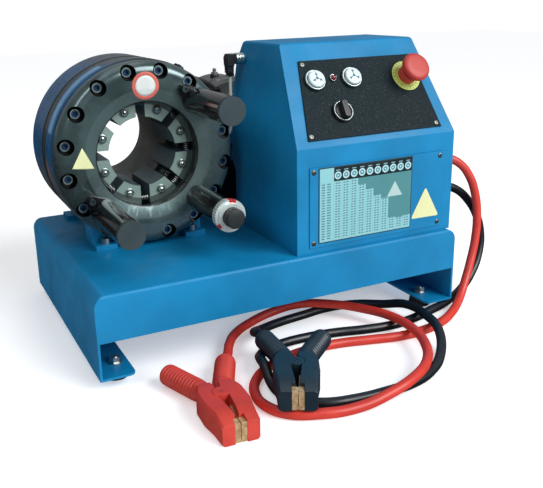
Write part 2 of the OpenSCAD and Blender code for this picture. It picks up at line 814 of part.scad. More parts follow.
module scale_ring()
    color([0.80, 0.82, 0.83]) head_frame() at_rods([micrometer_angle])
        translate([0, 0, micrometer_l + body_gap]) difference() {
            union() {
                cylinder(d = scale_d, h = scale_l, $fn = round_fn);
                cylinder(d = scale_step_d, h = scale_l + scale_step_l, $fn = round_fn);
            }
            bore(knob_stem_d, scale_l + scale_step_l);
        }
module micrometer_knob()
    color([0.06, 0.07, 0.08]) head_frame() at_rods([micrometer_angle])
        translate([0, 0, micrometer_l + body_gap + scale_l + scale_step_l]) {
            cylinder(d = knob_d, h = knob_l - knob_round, $fn = round_fn);
            translate([0, 0, knob_l - knob_round])
                cylinder(d1 = knob_d, d2 = knob_d - 2 * knob_round, h = knob_round, $fn = round_fn);
            translate([0, 0, -knob_stem_l]) cylinder(d = knob_stem_d, h = knob_stem_l + eps, $fn = small_fn);
        }
module limit_switch()
    color([0.07, 0.07, 0.08]) difference() {
        head_frame() rotate([0, 0, switch_angle])
            translate([barrel_r - switch_h / 2, -switch_tall / 2, -switch_depth - switch_w / 2])
                cube([switch_reach, switch_tall, switch_w]);
        head_frame() translate([0, 0, -barrel_rear_d])
            cylinder(r = barrel_r + run_gap, h = barrel_rear_d, $fn = fine_fn);
        machine() translate(sensor_route[len(sensor_route) - 1] - [0, 0, overrun])
            cylinder(d = sensor_d + 2 * cord_gap, h = switch_tall, $fn = small_fn);
    }

// Control box
module side_profile(low)
    polygon([[0, low], [0, bend_h], [slope_d, box_h], [slope_d + box_top_d, box_h],
             [box_d, box_h - rear_chamfer_h], [box_d, rear_step_h], [box_d - rear_step, rear_step_low_h],
             [box_d - rear_step, low]]);
module front_profile(low)
    polygon([[0, low], [box_w, low], [box_w, bend_h], [box_w - side_lean, box_h], [side_lean, box_h],
             [0, bend_h]]);
module rounded(r) offset(r = r, $fn = small_fn) offset(delta = -r) children();
module box_solid(inset, low)
    intersection() {
        rotate([90, 0, 90]) linear_extrude(box_w)
            rounded(box_fold_r - inset) offset(delta = -inset) side_profile(low);
        translate([0, box_d, 0]) rotate([90, 0, 0]) linear_extrude(box_d)
            rounded(box_fold_r - inset) offset(delta = -inset) front_profile(low);
    }
module cover_outline(inset, low, high)
    translate([cover_inset + inset, 0]) square([box_w - 2 * (cover_inset + inset), high]);
module plate_outline(inset)
    offset(delta = -inset) polygon([[plate_bottom_left, plate_low], [plate_bottom_right, plate_low],
                                    [plate_top_right, plate_high], [plate_top_left, plate_high]]);
module box_hood()
    color([0.10, 0.38, 0.58]) difference() {
        box_frame() intersection() {
            difference() {
                box_solid(0, -box_fold_r - overrun);
                box_solid(box_t, -2 * box_fold_r);
            }
            cube([box_w, box_d, box_h]);
        }
        front_frame([cover_inset + panel_window, cover_low + panel_window])
            translate([0, 0, -box_t - overrun])
                cube([box_w - 2 * (cover_inset + panel_window), cover_high - cover_low - 2 * panel_window,
                      box_t + 2 * overrun]);
        slant_frame([0, 0]) translate([0, 0, -box_t - overrun])
            linear_extrude(box_t + 2 * overrun) plate_outline(plate_window);
        panel_screw_places() translate([0, 0, -box_t - 2 * plate_t])
            cylinder(d = panel_screw_d + 2 * run_gap, h = box_t + 3 * plate_t, $fn = small_fn);
        at_socket() translate([0, 0, -socket_l])
            cylinder(d = socket_thread_d + 2 * run_gap, h = 2 * socket_l, $fn = small_fn);
        at_glands() translate([0, 0, -box_t]) bore(gland_thread_d, box_t);
    }
module panel_screw_places() {
    for (u = [cover_inset + panel_screw_inset, box_w - cover_inset - panel_screw_inset],
         h = [cover_low + panel_screw_inset, cover_high - panel_screw_inset])
        front_frame([u, h]) translate([0, 0, cover_panel_t]) children();
    for (at = plate_screws_at) slant_frame(at) translate([0, 0, plate_t]) children();
}
module lower_cover()
    color([0.12, 0.46, 0.66]) difference() {
        front_frame([cover_inset, cover_low])
            cube([box_w - 2 * cover_inset, cover_high - cover_low, cover_panel_t]);
        panel_screw_places() translate([0, 0, -box_t - plate_t])
            cylinder(d = panel_screw_d + 2 * run_gap, h = box_t + 2 * plate_t, $fn = small_fn);
    }
module panel_screws()
    color([0.78, 0.79, 0.80]) panel_screw_places() {
        cylinder(d1 = panel_screw_head_d, d2 = panel_screw_d, h = panel_screw_head_h, $fn = small_fn);
        translate([0, 0, -panel_screw_l])
            cylinder(d = panel_screw_d, h = panel_screw_l + eps, $fn = small_fn);
    }
module chart_plate()
    color([0.33, 0.58, 0.63]) front_frame([chart_left, chart_low]) translate([0, 0, cover_panel_t])
        cube([chart_w, chart_h, chart_t]);
module control_plate()
    color([0.08, 0.09, 0.10]) difference() {
        slant_frame([0, 0]) linear_extrude(plate_t) plate_outline(0);
        for (at = [open_button_at, close_button_at, selector_at, stop_at])
            slant_frame(at) bore(control_hole_d - 2 * run_gap, plate_t, round_fn);
        slant_frame(pilot_at) bore(pilot_lens_d + body_gap, plate_t);
        panel_screw_places() translate([0, 0, -box_t - plate_t])
            cylinder(d = panel_screw_d + 2 * run_gap, h = box_t + 2 * plate_t, $fn = small_fn);
    }

// A control whose ring stands on the plate and whose body hangs behind it, with a bore for the stem
module control_body(ring_d, ring_h, well_d, stem_d, stem_reach)
    difference() {
        union() {
            translate([0, 0, plate_t]) cylinder(d = ring_d, h = ring_h, $fn = round_fn);
            translate([0, 0, -control_body_l])
                cylinder(d = control_body_d, h = control_body_l + plate_t + eps, $fn = round_fn);
        }
        translate([0, 0, plate_t + control_floor]) cylinder(d = well_d, h = ring_h, $fn = round_fn);
        translate([0, 0, -stem_reach])
            cylinder(d = stem_d + 2 * run_gap, h = stem_reach + ring_h + plate_t, $fn = small_fn);
    }
module button_bezels()
    color([0.80, 0.81, 0.82]) for (at = [open_button_at, close_button_at]) slant_frame(at)
        control_body(bezel_d, bezel_h, button_cap_d + 2 * body_gap, button_stem_d,
                     button_stem_l + button_travel + body_gap);
module push_button(at)
    slant_frame(at) {
        translate([0, 0, plate_t + control_floor + button_travel + body_gap])
            cylinder(d = button_cap_d, h = button_cap_h - control_floor - button_travel - body_gap,
                     $fn = round_fn);
        translate([0, 0, -button_stem_l])
            cylinder(d = button_stem_d, h = button_stem_l + plate_t + button_cap_h - overrun, $fn = small_fn);
    }
module open_button() color([0.93, 0.94, 0.93]) push_button(open_button_at);
module close_button() color([0.93, 0.94, 0.93]) push_button(close_button_at);
module pilot_light()
    color([0.45, 0.06, 0.08]) slant_frame(pilot_at) {
        translate([0, 0, -control_body_l / 2])
            cylinder(d = pilot_lens_d, h = control_body_l / 2 + plate_t + eps, $fn = small_fn);
        translate([0, 0, plate_t]) cylinder(d = pilot_d, h = pilot_h, $fn = small_fn);
        translate([0, 0, plate_t + pilot_h - eps])
            cylinder(d1 = pilot_lens_d, d2 = pilot_lens_d / 2, h = pilot_lens_h, $fn = small_fn);
    }
module selector_body()
    color([0.78, 0.80, 0.82]) slant_frame(selector_at)
        control_body(selector_ring_d, selector_ring_h, selector_disc_d + 2 * body_gap, button_stem_d,
                     button_stem_l + body_gap);
module selector_knob()
    color([0.05, 0.05, 0.06]) slant_frame(selector_at) {
        translate([0, 0, plate_t + control_floor + body_gap])
            cylinder(d = selector_disc_d, h = selector_disc_h, $fn = round_fn);
        translate([-selector_grip_w / 2, -selector_grip_l / 2, plate_t + control_floor + body_gap])
            cube([selector_grip_w, selector_grip_l, selector_grip_h]);
        translate([0, 0, -button_stem_l])
            cylinder(d = button_stem_d, h = button_stem_l + plate_t + control_floor + body_gap + eps,
                     $fn = small_fn);
    }
module stop_body()
    color([0.90, 0.84, 0.25]) slant_frame(stop_at) {
        translate([0, 0, plate_t]) difference() {
            cylinder(d = stop_ring_d, h = stop_ring_t, $fn = round_fn);
            bore(control_hole_d - 2 * run_gap, stop_ring_t, round_fn);
        }
        difference() {
            union() {
                translate([0, 0, plate_t + stop_ring_t])
                    cylinder(d = stop_collar_d, h = stop_collar_h, $fn = round_fn);
                translate([0, 0, -control_body_l])
                    cylinder(d = control_body_d, h = control_body_l + plate_t + stop_ring_t + eps,
                             $fn = round_fn);
            }
            translate([0, 0, -mushroom_stem_l - stop_travel - body_gap])
                cylinder(d = mushroom_neck_d + 2 * run_gap, h = control_body_l + stop_collar_h + plate_t,
                         $fn = round_fn);
        }
    }
module mushroom_profile() {
    square([mushroom_neck_d / 2, mushroom_stem_l + mushroom_top_z]);
    translate([0, mushroom_stem_l + mushroom_top_z - mushroom_h])
        square([mushroom_d / 2, mushroom_h - mushroom_edge_r]);
    translate([0, mushroom_stem_l + mushroom_top_z - mushroom_h])
        square([mushroom_d / 2 - mushroom_edge_r, mushroom_h]);
    translate([mushroom_d / 2 - mushroom_edge_r, mushroom_stem_l + mushroom_top_z - mushroom_edge_r])
        circle(r = mushroom_edge_r, $fn = small_fn);
}
module stop_mushroom()
    color([0.83, 0.30, 0.27]) slant_frame(stop_at) translate([0, 0, -mushroom_stem_l])
        rotate_extrude($fn = round_fn) mushroom_profile();
module contactor()
    color([0.45, 0.46, 0.47]) box_frame() translate([contactor_at[0], contactor_at[1], 0]) {
        cylinder(d = contactor_d, h = contactor_h, $fn = round_fn);
        for (side = [-1, 1]) translate([side * contactor_d / 4, 0, contactor_h - eps])
            cylinder(d = stud_d, h = stud_top, $fn = small_fn);
    }

// Sensor plug and battery cable glands
module at_socket() box_frame() translate([socket_x, socket_y, socket_h]) rotate([0, -90, 0]) children();
module sensor_socket()
    color([0.80, 0.80, 0.77]) at_socket() {
        difference() {
            translate([0, 0, socket_stand]) cylinder(d = socket_d, h = socket_l, $fn = small_fn);
            for (i = [1:socket_grip_n]) translate([0, 0, socket_stand + i * socket_l / (socket_grip_n + 1)])
                rotate_extrude($fn = small_fn) translate([socket_d / 2, 0]) circle(r = overrun / 2, $fn = 4);
        }
        translate([0, 0, -socket_l / 2])
            cylinder(d = socket_thread_d, h = socket_l / 2 + socket_stand + eps, $fn = small_fn);
    }
module sensor_plug()
    color([0.06, 0.06, 0.07]) at_socket() translate([0, 0, socket_stand + socket_l]) difference() {
        translate([0, plug_w / 2, 0]) rotate([90, 0, 0]) linear_extrude(plug_w)
            polygon([[-plug_drop, 0], [plug_top, 0], [plug_top, plug_w - plug_chamfer],
                     [plug_top - plug_chamfer, plug_w], [-plug_drop, plug_w - plug_chamfer / 2]]);
        translate([-plug_drop - overrun, 0, plug_w / 2]) rotate([0, 90, 0])
            cylinder(d = sensor_d + 2 * cord_gap, h = plug_hold + overrun, $fn = small_fn);
    }
module at_glands()
    for (h = gland_heights) box_frame() translate([box_w, gland_y, h]) rotate([0, 90, 0]) children();
module cable_glands()
    color([0.08, 0.08, 0.09]) at_glands() difference() {
        union() {
            cylinder(d = gland_d, h = gland_nut_l, $fn = 6);
            translate([0, 0, gland_nut_l - eps])
                cylinder(d1 = gland_d - gland_taper, d2 = gland_d - 2 * gland_taper,
                         h = gland_l - gland_nut_l, $fn = round_fn);
            translate([0, 0, -box_t]) cylinder(d = gland_thread_d, h = box_t + eps, $fn = round_fn);
            translate([0, 0, -box_t - gland_nut_l]) cylinder(d = gland_d, h = gland_nut_l, $fn = 6);
        }
        translate([0, 0, -box_t - gland_nut_l - overrun])
            cylinder(d = gland_bore_d, h = box_t + gland_nut_l + gland_l + 2 * overrun, $fn = round_fn);
    }

// Power pack
module motor()
    color([0.25, 0.26, 0.22]) on_base()
        translate([motor_x, motor_y + motor_l, motor_axis_h]) rotate([90, 0, 0])
        difference() {
            union() {
                cylinder(d = motor_d, h = motor_l - motor_crown, $fn = fine_fn);
                translate([0, 0, motor_l - motor_crown])
                    cylinder(d1 = motor_d, d2 = motor_d - 2 * motor_crown, h = motor_crown, $fn = fine_fn);
            }
            translate([0, 0, motor_l - motor_crown - 2 * motor_band_w]) difference() {
                cylinder(d = motor_d + 2 * overrun, h = motor_band_w, $fn = fine_fn);
                translate([0, 0, -overrun])
                    cylinder(d = motor_d - 2 * motor_band_depth, h = motor_band_w + 2 * overrun,
                             $fn = fine_fn);
            }
        }
module pump_block()
    color([0.62, 0.64, 0.65]) difference() {
        on_base() translate([motor_x - block_side, motor_y - block_l, motor_axis_h - block_h / 2])
            cube([2 * block_side, block_l, block_h]);
        machine() translate([pipe_end[0], pipe_end[1], block_top_z - fitting_thread_l - overrun])
            cylinder(d = fitting_thread_d + 2 * run_gap, h = fitting_thread_l + 2 * overrun, $fn = small_fn);
    }
module oil_tank()
    color([0.10, 0.11, 0.12]) on_base() translate([tank_x, motor_y - tank_inset - tank_l, 0]) {
        translate([0, tank_r, 0]) cube([tank_w, tank_l - 2 * tank_r, tank_h]);
        translate([tank_r, 0, 0]) cube([tank_w - 2 * tank_r, tank_l, tank_h]);
        for (x = [tank_r, tank_w - tank_r], y = [tank_r, tank_l - tank_r])
            translate([x, y, 0]) cylinder(r = tank_r, h = tank_h, $fn = small_fn);
        translate([tank_w / 2, tank_l / 2, tank_h - eps])
            cylinder(d = filler_d, h = filler_h, $fn = round_fn);
    }
module pack_bracket()
    color([0.09, 0.10, 0.11]) difference() {
        on_base() translate([motor_x - bracket_w / 2, motor_y + bracket_inset, 0]) {
            cube([bracket_w, bracket_l, bracket_t]);
            for (y = [0, bracket_l - bracket_t]) translate([0, y, 0])
                cube([bracket_w, bracket_t, motor_axis_h - motor_d / 2 + bracket_rise]);
        }
        on_base() translate([motor_x, motor_y + motor_l, motor_axis_h]) rotate([90, 0, 0])
            cylinder(d = motor_d + 2 * run_gap, h = motor_l, $fn = fine_fn);
    }
module pipe_fitting() {
    translate([0, 0, -fitting_thread_l])
        cylinder(d = fitting_thread_d, h = fitting_thread_l + run_gap + eps, $fn = small_fn);
    translate([0, 0, run_gap]) cylinder(d = fitting_d, h = fitting_h, $fn = 6);
}
function bezier(a, b, c, d, steps) = [
    for (i = [0:steps]) let (t = i / steps, u = 1 - t)
        u * u * u * a + 3 * t * u * u * b + 3 * t * t * u * c + t * t * t * d
];
function pipe_path() =
    let (out = [cos(pipe_port_angle), 0, sin(pipe_port_angle)],
         from = [head_x, head_y + pipe_port_d, head_z] + (barrel_r + fitting_h - pipe_hold) * out,
         to = [pipe_end[0], pipe_end[1], block_top_z + fitting_h - pipe_hold])
        bezier(from, from + pipe_rise_1 * out, to + [0, 0, pipe_rise_2], to, pipe_steps);
module pressure_pipe()
    color([0.13, 0.14, 0.12]) {
        head_frame() rotate([0, 0, pipe_port_angle]) translate([barrel_r, 0, -pipe_port_d])
            rotate([0, 90, 0]) pipe_fitting();
        machine() translate([pipe_end[0], pipe_end[1], block_top_z]) pipe_fitting();
        machine() tube(pipe_path(), pipe_d, pipe_sides);
    }

// Cords
module red_cable() color([0.80, 0.16, 0.13]) machine() tube(red_route, cable_d, cord_sides);
module black_cable() color([0.05, 0.06, 0.07]) machine() tube(black_route, cable_d, cord_sides);
module sensor_cable() color([0.80, 0.82, 0.80]) machine() tube(sensor_route, sensor_d, cord_sides);

// Battery clamps: the half that takes the cable carries the outer knuckles, the other one the middle knuckle
function grip_profile() = concat(
    [[0, handle_start], [handle_root_d / 2, handle_start], [handle_d / 2, grip_from]],
    [for (i = [0:rib_n - 1]) for (k = [0:3])
        [handle_d / 2 - (k == 1 || k == 2 ? 0 : rib_depth), grip_from + (i + k / 4) * rib_pitch]],
    [[handle_d / 2, grip_from + rib_n * rib_pitch], [handle_d / 2, handle_reach - handle_end_round],
     [handle_d / 2 - handle_end_round, handle_reach], [0, handle_reach]]);
module clamp_plan()
    polygon([[slot_w / 2, -jaw_reach], [tip_w / 2, -jaw_reach], [clamp_w / 2, -waist_y],
             [clamp_w / 2, shoulder_y],
             [clamp_w / 2 - neck_in, neck_y], [0, neck_y], [0, shoulder_y], [slot_w / 2, 0]]);
module clamp_side()
    polygon([[-jaw_reach, 0], [neck_y, 0], [neck_y, clamp_h], [-nose_y, clamp_h],
             [-jaw_reach, clamp_h - nose_drop]]);
module knuckles(outer_ones, d, grow)
    if (outer_ones) {
        translate([0, 0, -grow]) cylinder(d = d, h = knuckle_t + 2 * grow, $fn = round_fn);
        translate([0, 0, clamp_h - knuckle_t - grow])
            cylinder(d = d, h = knuckle_t + 2 * grow, $fn = round_fn);
    } else
        translate([0, 0, knuckle_t + body_gap - grow])
            cylinder(d = d, h = clamp_h - 2 * knuckle_t - 2 * body_gap + 2 * grow, $fn = round_fn);
module clamp_half(fixed) {
    difference() {
        union() {
            difference() {
                union() {
                    intersection() {
                        linear_extrude(clamp_h) clamp_plan();
                        rotate([90, 0, 90]) linear_extrude(clamp_w) clamp_side();
                    }
                    translate([0, 0, clamp_h / 2]) rotate([0, 0, -handle_spread]) rotate([-90, 0, 0])
                        rotate_extrude($fn = small_fn) polygon(grip_profile());
                }
                knuckles(!fixed, knuckle_d + 2 * body_gap, body_gap);
            }
            knuckles(fixed, knuckle_d, 0);
        }
        bore(pivot_pin_d, clamp_h);
        translate([0, 0, -overrun]) linear_extrude(clamp_h + 2 * overrun) difference() {
            polygon([[0, 0], [-clamp_w, 0], [-clamp_w, handle_reach],
                     [handle_reach * tan(half_opening), handle_reach]]);
            circle(d = knuckle_d, $fn = round_fn);
        }
        if (fixed)
            translate([0, 0, clamp_h / 2]) rotate([0, 0, -handle_spread]) rotate([-90, 0, 0])
                translate([0, 0, handle_reach - cable_hold])
                    cylinder(d = cable_d + 2 * cord_gap, h = cable_hold + overrun, $fn = round_fn);
        else
            translate([0, 0, clamp_h - knuckle_t - body_gap - spring_space])
                cylinder(d = knuckle_d + 2 * body_gap, h = spring_space + knuckle_t, $fn = round_fn);
    }
    translate([jaw_gap / 2, -jaw_reach + jaw_inset, jaw_lip])
        cube([slot_w / 2 - jaw_gap / 2 - run_gap, jaw_reach - jaw_inset - jaw_rear_y,
              clamp_h - nose_drop - 2 * jaw_lip]);
}
module red_frame()
    machine() translate([red_pivot[0], red_pivot[1], red_lift]) rotate([0, 0, red_turn]) children();
module black_frame()
    machine() translate([black_pivot[0], black_pivot[1], black_lift]) rotate([0, 0, black_turn]) children();
module red_clamp_fixed() color([0.82, 0.30, 0.24]) red_frame() clamp_half(true);
module red_clamp_moving() color([0.82, 0.30, 0.24]) red_frame() mirror([1, 0, 0]) clamp_half(false);
module black_clamp_fixed() color([0.12, 0.19, 0.24]) black_frame() mirror([1, 0, 0]) clamp_half(true);
module black_clamp_moving() color([0.12, 0.19, 0.24]) black_frame() clamp_half(false);
module clamp_pin() {
    cylinder(d = pivot_pin_d, h = clamp_h, $fn = small_fn);
    translate([0, 0, clamp_h - knuckle_t - spring_space]) difference() {
        cylinder(d = pivot_pin_d + 2 * clamp_spring_wire + 2 * body_gap, h = spring_space - body_gap,
                 $fn = small_fn);
        bore(pivot_pin_d + 2 * body_gap - 2 * run_gap, spring_space);
    }
}
module clamp_pins() color([0.70, 0.71, 0.72]) {
    red_frame() clamp_pin();
    black_frame() clamp_pin();
}

// Least gap of a spring to itself, measured between points at least half a turn apart
spring_path = helix_path(spring_d, spring_wire, spring_turns, die_spring_l, curl_rings);
spring_clear = min([for (i = [0:len(spring_path) - curl_rings / 2 - 1])
    for (j = [i + curl_rings / 2 + 1:len(spring_path) - 1])
    norm(spring_path[i] - spring_path[j])]) - spring_wire;
echo(least_gap_of_a_die_spring_to_itself = spring_clear);

base_tray();
rubber_feet();
mounting_bolts();
head_feet();
box_hood();
lower_cover();
panel_screws();
chart_plate();
control_plate();
button_bezels();
open_button();
close_button();
pilot_light();
selector_body();
selector_knob();
stop_body();
stop_mushroom();
contactor();
sensor_socket();
sensor_plug();
sensor_cable();
limit_switch();
cable_glands();
motor();
pump_block();
oil_tank();
pack_bracket();
pressure_pipe();
barrel();
front_flange();
head_screws();
rear_housing();
ring_piston();
piston_rods();
die_1();
die_2();
die_3();
die_4();
die_5();
die_6();
die_7();
die_8();
die_springs_1();
die_springs_3();
die_springs_5();
die_springs_7();
spring_housings();
housing_caps();
return_springs();
micrometer_body();
scale_ring();
micrometer_knob();
red_cable();
black_cable();
red_clamp_fixed();
red_clamp_moving();
black_clamp_fixed();
black_clamp_moving();
clamp_pins();
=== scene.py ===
# Hose crimping machine: finishes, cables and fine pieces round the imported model
import json
import math
import bmesh
import bpy
from mathutils import Matrix, Vector


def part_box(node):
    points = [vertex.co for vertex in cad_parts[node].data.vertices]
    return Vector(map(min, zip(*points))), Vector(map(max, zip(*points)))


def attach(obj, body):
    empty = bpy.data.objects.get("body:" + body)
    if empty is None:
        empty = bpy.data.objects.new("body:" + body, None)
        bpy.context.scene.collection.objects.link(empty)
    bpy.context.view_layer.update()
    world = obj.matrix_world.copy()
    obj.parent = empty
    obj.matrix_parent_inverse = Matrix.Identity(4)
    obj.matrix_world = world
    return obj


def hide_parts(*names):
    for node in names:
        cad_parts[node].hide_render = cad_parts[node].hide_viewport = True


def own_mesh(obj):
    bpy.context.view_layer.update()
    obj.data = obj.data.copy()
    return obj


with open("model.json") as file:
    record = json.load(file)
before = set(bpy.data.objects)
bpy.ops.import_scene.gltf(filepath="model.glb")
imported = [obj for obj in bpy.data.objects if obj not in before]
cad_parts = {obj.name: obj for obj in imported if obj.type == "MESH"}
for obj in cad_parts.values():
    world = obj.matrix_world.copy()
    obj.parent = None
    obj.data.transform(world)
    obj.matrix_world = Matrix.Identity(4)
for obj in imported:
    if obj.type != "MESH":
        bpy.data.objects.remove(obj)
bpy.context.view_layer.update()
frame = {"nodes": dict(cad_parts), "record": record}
nodes = frame["nodes"]
scene = bpy.context.scene
print("frame loaded:", len(nodes), "nodes")

mm = 0.001
toMm = 1000
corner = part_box("base_tray")[0]  # the base's front left corner


def spot(x, y, z):  # millimetres from the base's front left corner on the floor
    return Vector((corner.x + x * mm, corner.y + y * mm, z * mm))


def frameAt(x, y, z):
    return Matrix.Translation(spot(x, y, z))


def moved(x, y, z):
    return Matrix.Translation(Vector((x, y, z)) * mm)


def turned(angle, axis="Z"):
    return Matrix.Rotation(math.radians(angle), 4, axis)


def fit(thing, **settings):  # sets several properties of one Blender thing
    for name, value in settings.items():
        setattr(thing, name, value)
    return thing


def addObject(name, data):
    made = bpy.data.objects.new(name, data)
    scene.collection.objects.link(made)
    return made


# Places that the frame gives
coverInset = 18  # from the box's side to its lower cover
bendHeight = 141  # where the box's front starts to slope
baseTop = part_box("base_tray")[1].z
flangeLow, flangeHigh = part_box("front_flange")
headAxis = Vector(((flangeLow.x + flangeHigh.x) / 2, flangeLow.y, (flangeLow.z + flangeHigh.z) / 2))
headFrame = Matrix.Translation(headAxis) @ turned(90, "X")  # z points to the front
boxCorner = Vector((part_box("lower_cover")[0].x - coverInset * mm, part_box("box_hood")[0].y, baseTop))
slantUp = Vector((0, 80, 125.5)).normalized()  # up along the sloping panel
slantTurn = math.degrees(math.atan2(slantUp.z, slantUp.y))


def slantFrame(u, v):  # a place on the sloping panel, z outward
    place = boxCorner + Vector((u, v * slantUp.y, bendHeight + v * slantUp.z)) * mm
    return Matrix.Translation(place) @ turned(slantTurn, "X")


def frontFrame(u, h):  # a place on the box's upright front, z outward
    return Matrix.Translation(boxCorner + Vector((u, 0, h)) * mm) @ turned(90, "X")


# Camera
view = {"place": (-443.4, -982.0, 451.1), "yaw": 25.18, "pitch": 16.72, "roll": -1.5,
        "focal": 741.06, "centre": (242.78, 219.12), "frame": (543, 488), "sensor": 36}


def makeCamera():
    yaw, pitch, roll = (math.radians(view[k]) for k in ("yaw", "pitch", "roll"))
    ahead = Vector((math.sin(yaw) * math.cos(pitch), math.cos(yaw) * math.cos(pitch), -math.sin(pitch)))
    level = Vector((math.cos(yaw), -math.sin(yaw), 0))
    above = level.cross(ahead)
    right = level * math.cos(roll) + above * math.sin(roll)
    up = above * math.cos(roll) - level * math.sin(roll)
    width, height = view["frame"]
    data = fit(bpy.data.cameras.new("camera"), sensor_width=view["sensor"],
        lens=view["focal"] / width * view["sensor"], shift_x=(width / 2 - view["centre"][0]) / width,
        shift_y=(view["centre"][1] - height / 2) / width)
    data.dof.use_dof = False
    turn = Matrix((right, up, -ahead)).transposed().to_4x4()
    scene.camera = addObject("camera", data)
    scene.camera.matrix_world = Matrix.Translation(Vector(view["place"]) * mm) @ turn


makeCamera()
print("camera placed")


# Finishes
def tint(*colour):  # a screen colour as linear light
    shares = [c / 255 for c in colour]
    return tuple(c / 12.92 if c <= 0.04045 else ((c + 0.055) / 1.055) ** 2.4 for c in shares) + (1,)


class Wire:  # a socket that sums and comparisons can be written on
    def __init__(self, board, socket):
        self.socket, self.maths = socket, board.maths

    def __add__(self, other): return self.maths("ADD", self, other)
    def __radd__(self, other): return self.maths("ADD", other, self)
    def __sub__(self, other): return self.maths("SUBTRACT", self, other)
    def __rsub__(self, other): return self.maths("SUBTRACT", other, self)
    def __mul__(self, other): return self.maths("MULTIPLY", self, other)
    def __rmul__(self, other): return self.maths("MULTIPLY", other, self)
    def __truediv__(self, other): return self.maths("DIVIDE", self, other)
    def __rtruediv__(self, other): return self.maths("DIVIDE", other, self)
    def __mod__(self, other): return self.maths("FLOORED_MODULO", self, other)
    def __pow__(self, other): return self.maths("POWER", self, other)
    def __gt__(self, other): return self.maths("GREATER_THAN", self, other)
    def __lt__(self, other): return self.maths("LESS_THAN", self, other)
    def __or__(self, other): return self.maths("MAXIMUM", self, other)
    def __and__(self, other): return self.maths("MINIMUM", self, other)
    def __abs__(self): return self.maths("ABSOLUTE", self)


class Board:  # a node tree, with short ways to add nodes to it
    def __init__(self, tree, coordinate=None):
        self.tree = tree
        if coordinate:
            self.place = self.node("ShaderNodeTexCoord", out=coordinate)

    def node(self, kind, settings=None, inputs=None, out=0):
        made = fit(self.tree.nodes.new(kind), **(settings or {}))
        self.feed(made, inputs or {})
        return Wire(self, made.outputs[out])

    def feed(self, made, inputs):  # a value or a wire for each of a node's inputs
        for name, value in inputs.items():
            if isinstance(value, Wire):
                self.tree.links.new(value.socket, made.inputs[name])
            else:
                made.inputs[name].default_value = value

    def maths(self, operation, *values):
        return self.node("ShaderNodeMath", {"operation": operation}, dict(enumerate(values)))

    def mix(self, factor, first, second):
        return self.node("ShaderNodeMix", {"data_type": "RGBA"}, {0: factor, 6: first, 7: second}, out=2)

    def along(self, axis):  # the place along x, y or z, as 0, 1 or 2
        return self.node("ShaderNodeSeparateXYZ", None, {0: self.place}, out=axis)

    def stretch(self, x, y, z):
        return self.node("ShaderNodeVectorMath", {"operation": "MULTIPLY"}, {0: self.place, 1: (x, y, z)})

    def noise(self, size, detail=3.0, rough=0.5, vector=None):  # size in millimetres
        return self.node("ShaderNodeTexNoise", None, {
            "Vector": vector or self.place, "Scale": 1 / (size * mm), "Detail": detail, "Roughness": rough})

    def span(self, value, low, high, least=0.0, most=1.0):
        return self.node("ShaderNodeMapRange", {"interpolation_type": "SMOOTHSTEP"},
            {0: value, 1: low, 2: high, 3: least, 4: most})

    def within(self, value, low, high, soft=0.3):
        return self.span(value, low - soft, low + soft) * (1 - self.span(value, high - soft, high + soft))


class Finish(Board):
    def __init__(self, name, metallic=0.0, coat=0.0, gloss=0.5):
        self.material = bpy.data.materials.new(name)
        self.material.use_nodes = True
        super().__init__(self.material.node_tree, "Object")
        self.shader = self.tree.nodes["Principled BSDF"]
        self.drive(Metallic=metallic, Coat_Weight=coat, Specular_IOR_Level=gloss)

    def drive(self, **sockets):
        self.feed(self.shader, {name.replace("_", " "): value for name, value in sockets.items()})

    def layered(self, colour, *layers):  # each layer's colour over the last, where its mask is
        for mask, over in layers:
            colour = self.mix(mask, colour, tint(*over))
        return colour

    def done(self, colour, rough, height, depth, **more):  # rough is a span, and depth is in millimetres
        bump = self.node("ShaderNodeBump", None, {"Height": height, "Distance": depth * mm})
        self.drive(Base_Color=colour, Roughness=self.span(*rough), Normal=bump, **more)
        return self


def shade(colour, factor):
    return tuple(min(1, c * factor) for c in colour[:3]) + (1,)


def paint(name, colour, rough=0.35, coat=0.2, peel=1.6, depth=0.03, dirt=0.12, gloss=0.5):
    finish, colour = Finish(name, coat=coat, gloss=gloss), tint(*colour)
    cloud = finish.span(finish.noise(90, 4), 0.3, 0.7)
    base = finish.mix(cloud, shade(colour, 1 - dirt), shade(colour, 1 + dirt))
    marks = finish.span(finish.noise(2.5, 5, 0.7), 0.62, 0.78) * 0.35
    gleam = finish.noise(25, 4), 0.3, 0.7, rough - 0.06, rough + 0.08
    return finish.done(finish.mix(marks, base, shade(colour, 0.6)), gleam, finish.noise(peel, 2), depth)


def bareMetal(name, colour, rough=0.3, grain=(1, 1, 1), depth=0.01, stain=0.25):
    finish, colour = Finish(name, metallic=1.0), tint(*colour)
    streak = finish.noise(0.6, 3, 0.6, finish.stretch(*grain))
    base = finish.mix(finish.span(finish.noise(14, 5, 0.6), 0.35, 0.75), shade(colour, 1 - stain), colour)
    gleam = streak, 0.2, 0.8, rough - 0.08, rough + 0.12
    return finish.done(finish.mix(streak * 0.3, base, shade(colour, 1.12)), gleam, streak, depth)


def moulded(name, colour, rough=0.42, grain=0.45, depth=0.02, coat=0.0, vary=0.1, gloss=0.5):
    finish, colour = Finish(name, coat=coat, gloss=gloss), tint(*colour)
    cloud = finish.noise(30, 4)
    dust = finish.span(finish.noise(1.2, 4, 0.7), 0.6, 0.8)
    base = finish.mix(finish.span(cloud, 0.3, 0.7), shade(colour, 1 - vary), shade(colour, 1 + vary))
    gleam = cloud, 0.25, 0.75, rough - 0.05, rough + 0.07
    return finish.done(finish.mix(dust * 0.12, base, shade(colour, 1.6)), gleam, finish.noise(grain, 2), depth)


